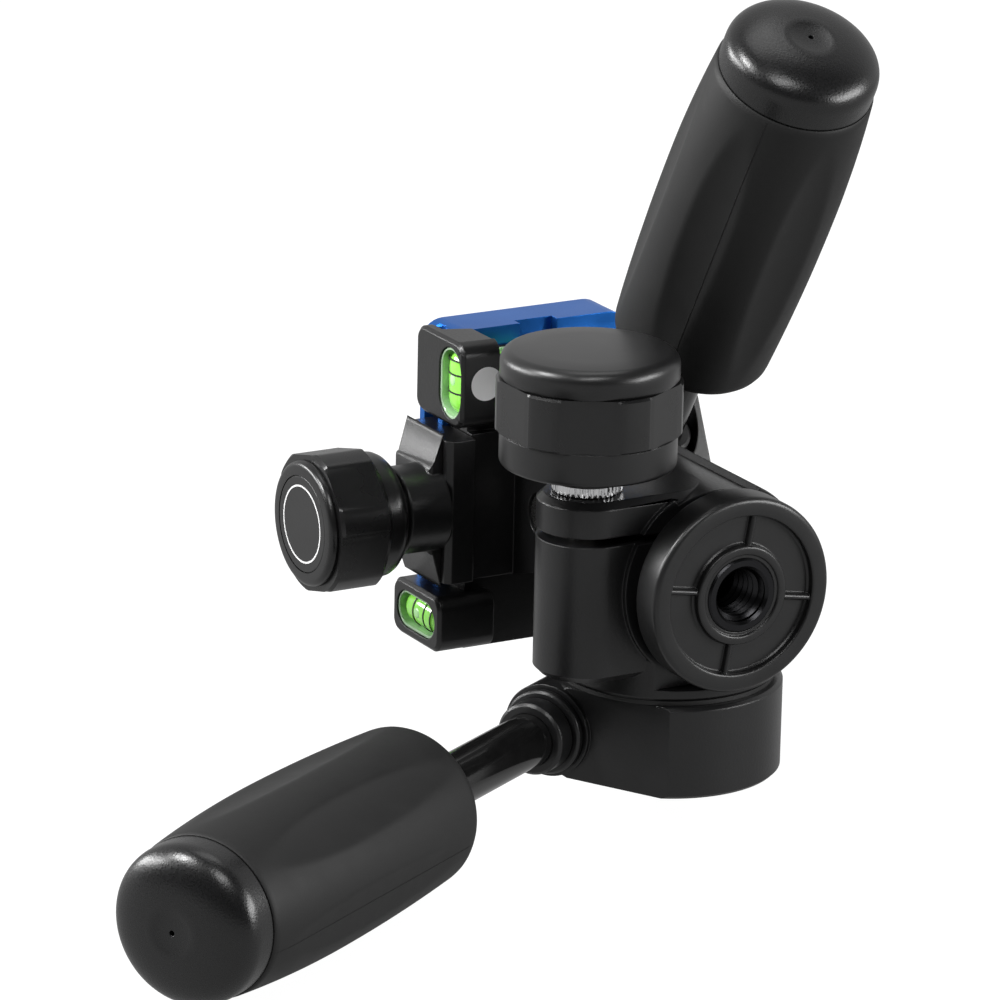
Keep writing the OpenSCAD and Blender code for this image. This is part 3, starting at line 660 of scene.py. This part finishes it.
# %% [markdown]
# ## The underside of the base
#
# The base is a turned disc with a shallow recess, a boss in the middle and four low ribs across the recess. The disc
# is one spun outline. A rib is a short cylinder that lies in the recess, with about half of it sunk in the floor,
# so that only its round side shows. The recess is shallower than the solid's, and the bush's bore is wider.

# %% Base
BASE_R, BASE_HEIGHT = 17.5, 6.5
RECESS_R, RECESS_DEPTH, BOSS_R, BUSH_R = 14.2, 1.5, 8.85, 6.6
RIB_WIDTH, RIB_STRETCH, RIB_REACH, RIB_OUT = 1.3, 1.5, 0.6, 0.1
RIB_ANGLES = (10, 100, 190, 280)
LIP_R, BUSH_GAP = 0.4, 0.03


def round_corner(x, y, r, start, end, n=5):
    """Points on an arc about (x, y), from one angle to another in degrees."""
    angles = [math.radians(start + (end - start) * i / n) for i in range(n + 1)]
    return [(x + r * math.cos(a), y + r * math.sin(a)) for a in angles]


hole_r = BUSH_R + BUSH_GAP
outline = [(hole_r, BASE_HEIGHT), (hole_r, LIP_R), (BOSS_R - 4 * LIP_R, LIP_R)]
outline += round_corner(BOSS_R - 3 * LIP_R, LIP_R, LIP_R, 180, 270)
outline += round_corner(BOSS_R - LIP_R, LIP_R, LIP_R, 270, 360)
outline += [(BOSS_R, RECESS_DEPTH - 0.3), (BOSS_R + 0.3, RECESS_DEPTH), (RECESS_R - 0.3, RECESS_DEPTH),
            (RECESS_R, RECESS_DEPTH - 0.3)]
outline += round_corner(RECESS_R + LIP_R, LIP_R, LIP_R, 180, 270) + round_corner(BASE_R - 1, 1, 1, 270, 360)
outline += [(BASE_R, BASE_HEIGHT - LIP_R), (BASE_R - LIP_R, BASE_HEIGHT), (hole_r, BASE_HEIGHT)]
disc = lathe(outline, 144)
for angle in RIB_ANGLES:
    rib = bmesh.new()
    bmesh.ops.create_cone(rib, cap_ends=True, segments=24, radius1=RIB_WIDTH / 2, radius2=RIB_WIDTH / 2,
                          depth=RECESS_R - BOSS_R + RIB_REACH)
    bmesh.ops.rotate(rib, verts=rib.verts, cent=(0, 0, 0), matrix=Matrix.Rotation(math.radians(90), 3, "Y"))
    bmesh.ops.scale(rib, vec=(1, 1, RIB_STRETCH), verts=rib.verts)
    bmesh.ops.translate(rib, verts=rib.verts, vec=((RECESS_R + BOSS_R) / 2, 0, RECESS_DEPTH - RIB_OUT))
    bmesh.ops.rotate(rib, verts=rib.verts, cent=(0, 0, 0), matrix=Matrix.Rotation(math.radians(angle), 3, "Z"))
    join(disc, rib)
add_piece("base_disc", disc, IN_PLACE, "base", "smooth_plastic", replaces=("base_flange",), smooth=35)

BORE_R, BORE_DEPTH, BUSH_HEIGHT, LEAD_IN = 4.82, 12, 13, 0.5
bush = lathe([(BORE_R, BORE_DEPTH), (BORE_R, LEAD_IN), (5.3, 0), (BUSH_R - 0.3, 0), (BUSH_R, 0.3),
              (BUSH_R, BUSH_HEIGHT), (0, BUSH_HEIGHT), (0, BORE_DEPTH), (BORE_R, BORE_DEPTH)], 96)
add_piece("base_bush", bush, IN_PLACE, "base", "dark_bush", replaces=("thread_bush",))

# %% [markdown]
# ## The pan knob
#
# The knob is a stack of three pieces on one axis: a hub with a rounded lower edge, a ring with six flats that the
# fingers hold, and a cap with a soft edge and a hardly domed top. The ring is spun round, and the points beyond each
# flat are then pressed in to it, which leaves the round corners of the real one. The hub's neck reaches past its
# solid, over the bright collar.

# %% Pan knob
KNOB_X, HUB_LENGTH, RING_LENGTH, CAP_LENGTH = 21.4, 5.9, 9.5, 5
HUB_R, RING_R, FLATS_R = 15.35, 16.1, 15.05
NECK_R, NECK_LENGTH = 6.7, 2.7
FLATS, EDGE, RING_GAP = 6, 0.4, 0.02
CAP_EDGE_R, CAP_PAST = 2.3, 0.15


def press_flats(shape, flat_r, count, turn):
    """Moves every point beyond one of the flats straight in to it."""
    step = math.tau / count
    for vert in shape.verts:
        r, angle = polar(vert)
        off = (angle - turn + step / 2) % step - step / 2
        set_polar(vert, min(r, flat_r / math.cos(off)), angle)
    return shape


hub = lathe([(KNOB_BORE_R, -NECK_LENGTH), (NECK_R, -NECK_LENGTH), (NECK_R, 0)]
            + round_corner(HUB_R - 1, 1, 1, 270, 360)
            + [(HUB_R, HUB_LENGTH), (KNOB_BORE_R, HUB_LENGTH), (KNOB_BORE_R, -NECK_LENGTH)], 128)
add_piece("pan_knob_lower", hub, on_knob_axis(KNOB_X), "pan_knob", "smooth_plastic",
          replaces=("pan_knob_hub",))
ring = lathe([(KNOB_BORE_R, RING_GAP), (RING_R - EDGE, RING_GAP), (RING_R, EDGE), (RING_R, RING_LENGTH - EDGE),
              (RING_R - EDGE, RING_LENGTH - RING_GAP), (KNOB_BORE_R, RING_LENGTH - RING_GAP),
              (KNOB_BORE_R, RING_GAP)], 180)
press_flats(ring, FLATS_R, FLATS, 0)
add_piece("pan_knob_flats", ring, on_knob_axis(KNOB_X + HUB_LENGTH), "pan_knob", "gloss_plastic",
          replaces=("pan_knob_ring",), smooth=12)
cap_r = HUB_R + CAP_PAST
cap = lathe([(0, 0), (cap_r - EDGE, 0), (cap_r, 0.5)]
            + round_corner(cap_r - CAP_EDGE_R, CAP_LENGTH - CAP_EDGE_R, CAP_EDGE_R, 0, 82, 10)
            + [(cap_r * 0.6, CAP_LENGTH + 0.18), (cap_r * 0.3, CAP_LENGTH + 0.3), (0, CAP_LENGTH + 0.34)], 144)
add_piece("pan_knob_top", cap, on_knob_axis(KNOB_X + HUB_LENGTH + RING_LENGTH), "pan_knob",
          "smooth_plastic", replaces=("pan_knob_cap",), smooth=40)

# %% [markdown]
# ## The clamp knob
#
# The clamp knob has a round body with a soft lower edge and six lobes with flat faces, which start a little way up.
# Both are spun, and the lobes' spun block is then pressed to six flats. The front holds a plain disc with a thin
# circle on it. The knob is a little wider than its solid and stands 1 mm further out. Its neck is much shorter than
# the collar that it stands for, and the boss on the jaw fills the rest.

# %% Clamp knob
CLAMP_Y, CLAMP_Z, CLAMP_LENGTH = -33, 68.7, 16.5
BODY_R, LOBE_FLAT_R, LOBE_R, DISC_R = 11.3, 12.2, 13.1, 8.7
BODY_FOOT_R, BODY_EDGE_R = 2.8, 1.1
LOBES, LOBE_START, LOBE_TURN = 6, 3.9, math.radians(14)
DISC_GAP, DISC_SUNK, DISC_HEIGHT = 0.1, 0.5, 0.45
CIRCLE_IN_R, CIRCLE_OUT_R = 6.73, 7.07
SCREW_R, CLAMP_NECK_R, CLAMP_NECK_LENGTH = 2.6, 7.2, 1.3


def on_clamp_axis(y):
    return frame_of((0, y, CLAMP_Z), (0, -1, 0), (1, 0, 0))


body = lathe([(0, 0), (BODY_R - BODY_FOOT_R, 0)]
             + round_corner(BODY_R - BODY_FOOT_R, BODY_FOOT_R, BODY_FOOT_R, 270, 360)
             + [(BODY_R, CLAMP_LENGTH - 2.6), (BODY_R - 0.4, CLAMP_LENGTH - 2.2)]
             + round_corner(BODY_R - BODY_EDGE_R, CLAMP_LENGTH - BODY_EDGE_R, BODY_EDGE_R, 0, 90)
             + [(DISC_R + DISC_GAP, CLAMP_LENGTH), (DISC_R + DISC_GAP, CLAMP_LENGTH - DISC_SUNK),
                (0, CLAMP_LENGTH - DISC_SUNK)], 144)
lobes = lathe([(BODY_R - 0.5, LOBE_START), (LOBE_R, 5.6), (LOBE_R, CLAMP_LENGTH - 2),
               (LOBE_R - 0.5, CLAMP_LENGTH - 1.5), (BODY_R - 2, CLAMP_LENGTH - 1.5), (BODY_R - 2, LOBE_START),
               (BODY_R - 0.5, LOBE_START)], 180)
press_flats(lobes, LOBE_FLAT_R, LOBES, LOBE_TURN)
add_piece("clamp_knob_lobed", join(body, lobes), on_clamp_axis(CLAMP_Y), "clamp_knob",
          "gloss_plastic", replaces=("clamp_knob",), smooth=25)
face = lathe([(0, 0), (DISC_R, 0), (DISC_R, 0.35), (DISC_R - 0.15, DISC_HEIGHT), (0, DISC_HEIGHT)], 96)
circle = lathe([(CIRCLE_IN_R, 0.4), (CIRCLE_IN_R, 0.48), (CIRCLE_OUT_R, 0.48), (CIRCLE_OUT_R, 0.4),
                (CIRCLE_IN_R, 0.4)], 96)
disc_place = on_clamp_axis(CLAMP_Y - CLAMP_LENGTH + DISC_SUNK)
add_piece("clamp_face_disc", face, disc_place, "clamp_knob", "smooth_plastic",
          replaces=("clamp_knob_disc",))
add_piece("clamp_face_circle", circle, disc_place, "clamp_knob", "white_label")
neck = lathe([(SCREW_R, 0), (CLAMP_NECK_R, 0), (CLAMP_NECK_R, CLAMP_NECK_LENGTH), (SCREW_R, CLAMP_NECK_LENGTH),
              (SCREW_R, 0)], 96)
add_piece("clamp_knob_neck", neck, on_clamp_axis(CLAMP_Y + CLAMP_NECK_LENGTH), "clamp_knob",
          "smooth_plastic", replaces=("clamp_knob_collar",))

# %% [markdown]
# ## The jaw's hump
#
# The moving jaw bulges round its screw: a flat hump with sloping sides, and a round boss that reaches out to the
# knob. The hump is a block whose side edges are drawn in and whose long edges are bevelled. It sits on the CAD jaw,
# and no solid has its form. The boss belongs to the jaw, so it stays still when the knob turns.

# %% Jaw hump
JAW_HALF, JAW_FACE_Y, JAW_LOW, JAW_HIGH = 14.3, -23.4, 64.7, 78.1
HUMP_OUT, HUMP_GAP, HUMP_BEVEL = 2.8, 0.02, 1.5
BOSS_RADIUS, BOSS_END_Y = 8, CLAMP_Y + 1.35
HUMP_START_Y = JAW_FACE_Y - HUMP_GAP

hump = bmesh.new()
bmesh.ops.create_cube(hump, size=1.0)
bmesh.ops.scale(hump, vec=(2 * JAW_HALF, HUMP_OUT - HUMP_GAP, JAW_HIGH - JAW_LOW), verts=hump.verts)
bmesh.ops.translate(hump, vec=(0, HUMP_START_Y - (HUMP_OUT - HUMP_GAP) / 2, (JAW_LOW + JAW_HIGH) / 2),
                    verts=hump.verts)
for vert in hump.verts:
    if vert.co.y < JAW_FACE_Y - 1:
        vert.co.x = math.copysign(BOSS_RADIUS, vert.co.x)
outer = [edge for edge in hump.edges if all(vert.co.y < JAW_FACE_Y - 1 for vert in edge.verts)]
bmesh.ops.bevel(hump, geom=outer, offset=HUMP_BEVEL, segments=5, profile=0.5, affect="EDGES", material=-1)
boss = lathe([(SCREW_R, BOSS_END_Y), (BOSS_RADIUS - 0.3, BOSS_END_Y), (BOSS_RADIUS, BOSS_END_Y + 0.3),
              (BOSS_RADIUS, HUMP_START_Y), (SCREW_R, HUMP_START_Y), (SCREW_R, BOSS_END_Y)], 96)
to_jaw = Matrix.Translation((0, 0, CLAMP_Z)) @ Matrix.Rotation(math.radians(-90), 4, "X")
bmesh.ops.transform(boss, verts=boss.verts, matrix=to_jaw)
add_piece("jaw_hump", join(hump, boss), IN_PLACE, "jaw", "coated_casting", smooth=35)

# %% [markdown]
# ## Castings that differ a little from their solids
#
# Three castings differ from their solids, which is a fault to mend in the CAD model one day and not a method to
# copy. The ears for the levels are up to 1.7 mm larger. The lug under the pan knob is 1.5 mm shorter. The camera
# plate is 3.5 mm shorter at one end and 0.5 mm longer at the other, and its corners are rounded. A merged copy of each
# solid has the points of that place moved, and everything else stays as it was.

# %% Reshaped castings
# each row: the old middle, the new middle, the old size and the new size, along one axis
REAR_EAR_X, REAR_EAR_Z = (23, 23.1, 15.4, 15.9), (70, 70.6, 15.5, 17.2)
SIDE_EAR_X, SIDE_EAR_Z = (-21, -21, 9.8, 10.4), (70.9, 70.9, 16.4, 17.4)
REAR_POCKET_X, REAR_POCKET_Z = (23, 23.1, 11.4, 13.2), (66.5, 66.5, 7.4, 8.0)
SIDE_POCKET_X, SIDE_POCKET_Z = (-21, -21, 6.4, 7.0), (70.9, 70.9, 12.6, 14.2)
POCKET_MARGIN = 0.1
REAR_POCKET_Y, SIDE_POCKET_Y = -18, -21.5
LUG_FACE_X, LUG_CUT = 15.9, 1.5
PLATE_X0, PLATE_X1, PLATE_HALF, CORNER = -26.5, 30.5, 19, 4.5
OLD_PLATE_END, PLATE_MIDDLE = 30, 9
CORNER_STEPS = 8


def rescale(value, old_middle, new_middle, old_size, new_size):
    return new_middle + (value - old_middle) * new_size / old_size


def on_ear(x, y, z):
    """Whether a point of the platform belongs to one of the ears that carry the levels."""
    return abs(x) > 14.5 and y < -13.6 and (z < 64.4 or z > 72.6 or y < -17.75)


def in_pocket(x, z, row_x, row_z):
    """Whether a point lies in a level's pocket, as the solid has it."""
    return (abs(x - row_x[0]) < row_x[2] / 2 + POCKET_MARGIN
            and abs(z - row_z[0]) < row_z[2] / 2 + POCKET_MARGIN)


def move_ears(x, y, z):
    if not on_ear(x, y, z):
        return x, y, z
    if x > 0:
        pocket = y < REAR_POCKET_Y and in_pocket(x, z, REAR_POCKET_X, REAR_POCKET_Z)
        rows = (REAR_POCKET_X, REAR_POCKET_Z) if pocket else (REAR_EAR_X, REAR_EAR_Z)
    else:
        pocket = y < SIDE_POCKET_Y and in_pocket(x, z, SIDE_POCKET_X, SIDE_POCKET_Z)
        rows = (SIDE_POCKET_X, SIDE_POCKET_Z) if pocket else (SIDE_EAR_X, SIDE_EAR_Z)
    return rescale(x, *rows[0]), y, rescale(z, *rows[1])


def shorten_lug(x, y, z):
    return (x - LUG_CUT if x > LUG_FACE_X else x), y, z


def slide_plate(x, y, z):
    """Draws in one end of the plate and moves the other out, each beyond its middle part."""
    if x < -PLATE_MIDDLE:
        x = x * -PLATE_X0 / OLD_PLATE_END
    elif x > PLATE_MIDDLE:
        x = x + PLATE_X1 - OLD_PLATE_END
    return x, y, z


add_piece("platform_casting", reshaped("platform", move_ears), IN_PLACE, "lateral_stage",
          "coated_casting", replaces=("platform",))
add_piece("pan_housing_casting", reshaped("pan_housing", shorten_lug), IN_PLACE, "pan_stage",
          "coated_casting", replaces=("pan_housing",))
plate = reshaped("camera_plate", slide_plate)
for step in range(1, CORNER_STEPS + 1):
    inset = CORNER * (1 - math.sin(math.radians(90 * (1 - step / CORNER_STEPS))))
    for x in (PLATE_X0 + inset, PLATE_X1 - inset):
        bmesh.ops.bisect_plane(plate, geom=plate.verts[:] + plate.edges[:] + plate.faces[:], dist=1e-4,
                               plane_co=(x, 0, 0), plane_no=(1, 0, 0))
for vert in plate.verts:
    inset = min(vert.co.x - PLATE_X0, PLATE_X1 - vert.co.x)
    if inset < CORNER:
        reach = PLATE_HALF - CORNER + math.sqrt(max(CORNER ** 2 - (CORNER - inset) ** 2, 0))
        vert.co.y = math.copysign(min(abs(vert.co.y), reach), vert.co.y)
bmesh.ops.remove_doubles(plate, verts=plate.verts, dist=1e-4)
add_piece("blue_plate", plate, IN_PLACE, "plate", "blue_anodising", replaces=("camera_plate",), smooth=20)

# %% [markdown]
# ## Level vials
#
# Each vial is a green tube with round ends, sunk into its pocket so that only a low dome shows, with black lines
# painted round it, a pale bubble, and a thin clear rim that holds it. The box of its CAD solid gives its place and,
# where no other size is given, its length and width, so the same function draws all three.

# %% Vials
RIM_WALL, RIM_EDGE, TUBE_INSET, DOME_BELOW_RIM = 0.5, 0.1, 0.9, 0.1
LINE_HALF, LINE_THICK, LINE_ARC = 0.14, 0.05, 160
BUBBLE_SIZE, BUBBLE_AT, BUBBLE_SUNK = (1.2, 0.95, 0.3), 0.6, 0.15
REAR_VIAL_SIZE, SIDE_VIAL_SIZE = (13.1, 7.9), (14.1, 6.9)


def oblong_dome(length, width, rise):
    """A round-ended tube, sunk so that a dome of the height rise shows."""
    dome = bmesh.new()
    bmesh.ops.create_uvsphere(dome, u_segments=48, v_segments=24, radius=1.0)
    bmesh.ops.scale(dome, vec=(width / 2, width / 2, rise), verts=dome.verts)
    return stretch(dome, length - width)


def painted_line(x, width, rise):
    """A thin band across the dome, spun round it from one small rectangle."""
    band = bmesh.new()
    outline = ((-LINE_HALF, 0), (LINE_HALF, 0), (LINE_HALF, LINE_THICK), (-LINE_HALF, LINE_THICK))
    corners = [band.verts.new((x + dx, 0, 1 + dz)) for dx, dz in outline]
    edges = [band.edges.new((corners[i], corners[i - 1])) for i in range(4)]
    start = Matrix.Rotation(math.radians(-LINE_ARC / 2), 3, "X")
    bmesh.ops.rotate(band, verts=band.verts, cent=(0, 0, 0), matrix=start)
    bmesh.ops.spin(band, geom=corners + edges, axis=(1, 0, 0), cent=(0, 0, 0), angle=math.radians(LINE_ARC), steps=24)
    bmesh.ops.holes_fill(band, edges=[edge for edge in band.edges if edge.is_boundary], sides=4)
    bmesh.ops.scale(band, vec=(1, width / 2, rise), verts=band.verts)
    return band


def oblong_rim(length, width, wall, height):
    """A thin wall with round ends and soft edges."""
    outer, inner = width / 2, width / 2 - wall
    rim = lathe([(inner, 0), (inner, height - RIM_EDGE), (inner + RIM_EDGE, height), (outer - RIM_EDGE, height),
                 (outer, height - RIM_EDGE), (outer, 0), (inner, 0)], 48)
    return stretch(rim, length - width)


def add_vial(name, outward, along, lines, oblong=None):
    """Draws one level on its solid's place: tube, painted lines, rim and bubble."""
    outward, along = Vector(outward), Vector(along)
    mid, size = centre_and_size(name)
    thick = abs(size.dot(outward))
    length = abs(size.dot(along))
    width = size.x + size.y + size.z - thick - length
    length, width = oblong or (length, width)
    place = frame_of(mid - outward * thick / 2, outward, along)
    inner_l, inner_w, rise = length - TUBE_INSET, width - TUBE_INSET, thick - DOME_BELOW_RIM
    add_piece(f"{name}_tube", oblong_dome(inner_l, inner_w, rise), place, "lateral_stage",
              "vial_green", replaces=(name,), smooth=60)
    marks = bmesh.new()
    for x in lines:
        join(marks, painted_line(x, inner_w, rise))
    add_piece(f"{name}_lines", marks, place, "lateral_stage", "black_nylon")
    add_piece(f"{name}_rim", oblong_rim(length, width, RIM_WALL, thick + RIM_EDGE), place, "lateral_stage",
              "vial_rim")
    bubble = bmesh.new()
    bmesh.ops.create_uvsphere(bubble, u_segments=24, v_segments=12, radius=1.0)
    bmesh.ops.scale(bubble, vec=BUBBLE_SIZE, verts=bubble.verts)
    bmesh.ops.translate(bubble, vec=(BUBBLE_AT, 0, rise - BUBBLE_SUNK), verts=bubble.verts)
    add_piece(f"{name}_bubble", bubble, place, "lateral_stage", "vial_bubble", smooth=60)


add_vial("rear_level_vial", (0, -1, 0), (1, 0, 0), (-1.7, 1.7, 4.3), REAR_VIAL_SIZE)
add_vial("side_level_vial", (0, -1, 0), (0, 0, 1), (-1.9, 1.9, -4.4), SIDE_VIAL_SIZE)
add_vial("end_level_vial", (1, 0, 0), (0, 1, 0), (-1.3, 1.3))

# %% [markdown]
# ## Small trim
#
# The pads of the camera plate are ribbed rubber that keeps a camera from turning. One of them lies 3 mm further in
# than its solid, because the plate's end does.

# %% Trim
PAD_LENGTH, PAD_FLOOR, PAD_SHIFT = 16, 0.26, 3
PAD_RIBS, RIB_ACROSS, RIB_TALL, RIB_MIDDLE, RIB_SHORTER = 14, 0.62, 0.24, 0.38, 0.4

pads_mid, pads_size = centre_and_size("plate_pads")
ribbed = bmesh.new()
for side in (-1, 1):
    middle = side * (pads_size.x - PAD_LENGTH) / 2 + (PAD_SHIFT if side < 0 else 0)
    bmesh.ops.create_cube(ribbed, size=1.0, matrix=Matrix.Translation((middle, 0, PAD_FLOOR / 2))
                          @ Matrix.Diagonal((PAD_LENGTH, pads_size.y, PAD_FLOOR, 1)))
    for k in range(PAD_RIBS):
        x = middle - PAD_LENGTH / 2 + PAD_LENGTH * (k + 0.5) / PAD_RIBS
        bmesh.ops.create_cube(ribbed, size=1.0, matrix=Matrix.Translation((x, 0, RIB_MIDDLE))
                              @ Matrix.Diagonal((RIB_ACROSS, pads_size.y - RIB_SHORTER, RIB_TALL, 1)))
pads_place = frame_of((pads_mid.x, pads_mid.y, pads_mid.z - pads_size.z / 2), (0, 0, 1), (1, 0, 0))
add_piece("ribbed_pads", ribbed, pads_place, "plate", "grip_rubber", replaces=("plate_pads",))

# %% [markdown]
# ## Stage and light
#
# The photograph is a cut-out on white. Its picture has the pan knob's side up, so the floor here is a wall of the
# head's own frame: a plane square to X under the tilt handle. The world and the floor show white to the camera. To
# every other ray the world is white only behind the head and dim in front of it. Glossy reflections see the floor
# shine a little, which gives the dark pieces their sheen from below, and it lights nothing else.

# %% Stage
FLOOR_GAP = 0.4 * MM
FLOOR_HALF = 3.0
WHITE_ROOM = 0.6
DIM_ROOM = 0.05
ROOM_TURNS_WHITE, ROOM_TURNS_DIM = -0.35, 0.25
FLOOR_WHITE, FLOOR_SHINE, FLOOR_GREY = 0.97, 0.36, (0.12, 0.12, 0.12, 1)


def add_world():
    """A white room behind the head and a dim one in front of it, so that faces turned to the camera stay black."""
    world = bpy.data.worlds.new("studio")
    world.use_nodes = True
    bpy.context.scene.world = world
    tree = world.node_tree
    background = tree.nodes["Background"]
    direction = Signal(tree.nodes.new("ShaderNodeTexCoord").outputs["Generated"])
    front = direction.node("ShaderNodeVectorMath", {"operation": "DOT_PRODUCT"}, {0: direction, 1: BACK}, output=1)
    room = front.node("ShaderNodeMapRange", {"interpolation_type": "SMOOTHSTEP"},
                      {"Value": front, "From Min": ROOM_TURNS_WHITE, "From Max": ROOM_TURNS_DIM,
                       "To Min": WHITE_ROOM, "To Max": DIM_ROOM})
    rays = tree.nodes.new("ShaderNodeLightPath")
    seen = Signal(rays.outputs["Is Camera Ray"])
    plug(tree, background.inputs["Strength"], seen + (1 - seen) * room)
    background.inputs["Color"].default_value = (1, 1, 1, 1)


def add_floor(x):
    """A floor square to X that is clear from behind and shines to the camera and to glossy rays."""
    shape = bmesh.new()
    bmesh.ops.create_grid(shape, x_segments=1, y_segments=1, size=FLOOR_HALF)
    bmesh.ops.transform(shape, matrix=Matrix.Translation((x, 0, 0)) @ Matrix.Rotation(math.pi / 2, 4, "Y"),
                        verts=shape.verts)
    mesh = bpy.data.meshes.new("floor")
    shape.to_mesh(mesh)
    shape.free()
    floor = bpy.data.objects.new("floor", mesh)
    bpy.context.scene.collection.objects.link(floor)
    material = bpy.data.materials.new("floor_white")
    material.use_nodes = True
    tree = material.node_tree
    tree.nodes.remove(tree.nodes["Principled BSDF"])
    rays = tree.nodes.new("ShaderNodeLightPath")
    behind = Signal(tree.nodes.new("ShaderNodeNewGeometry").outputs["Backfacing"])
    diffuse = behind.node("ShaderNodeBsdfDiffuse", {}, {"Color": FLOOR_GREY})
    seen, mirrored = Signal(rays.outputs["Is Camera Ray"]), Signal(rays.outputs["Is Glossy Ray"])
    glow = behind.node("ShaderNodeEmission", {}, {"Strength": FLOOR_WHITE * seen + FLOOR_SHINE * mirrored})
    both = behind.node("ShaderNodeAddShader", {}, {0: diffuse, 1: glow})
    clear = behind.node("ShaderNodeBsdfTransparent")
    shown = behind.node("ShaderNodeMixShader", {}, {0: behind, 1: both, 2: clear})
    plug(tree, tree.nodes["Material Output"].inputs["Surface"], shown)
    mesh.materials.append(material)
    return floor


add_world()
add_floor(cad_box[0][0] - FLOOR_GAP)
print("floor at X in mm:", round((cad_box[0][0] - FLOOR_GAP) / MM, 1))

# %% [markdown]
# ## Lamps
#
# Five softboxes stand round the head. Each is placed by the picture's own directions, in metres to the right, up and
# back towards the camera from the point that the camera aims at, so a highlight is moved the way it is seen.

# %% Lamps
def add_softbox(name, place, aim, size, watts):
    """A rectangular lamp at place, turned to face aim."""
    data = bpy.data.lights.new(name, "AREA")
    data.shape = "RECTANGLE"
    data.size, data.size_y = size
    data.energy = watts
    lamp = bpy.data.objects.new(name, data)
    away = (place - aim).normalized()
    lamp.matrix_world = Matrix.Translation(place) @ away.to_track_quat("Z", "Y").to_matrix().to_4x4()
    bpy.context.scene.collection.objects.link(lamp)
    return lamp


# each softbox: how far right, up and back it stands, its size in metres and its power in watts
SOFTBOXES = {
    "key_box": (-0.66, 0.62, 0.42, (0.25, 0.25), 9),
    "top_front_box": (0.05, 0.55, 0.83, (0.5, 0.2), 3),
    "right_box": (0.95, 0.15, 0.30, (0.3, 0.7), 8),
    "left_strip": (-0.92, 0.38, -0.08, (0.18, 0.8), 9),
    "overhead": (0.05, 0.98, 0.1, (0.6, 0.4), 1.5),
}
for name, (right, up, back, size, watts) in SOFTBOXES.items():
    add_softbox(name, AIM + right * RIGHT + up * UP + back * BACK, AIM, size, watts)
print("lamps:", len(bpy.data.lights))

bpy.context.scene.view_settings.view_transform = "Standard"
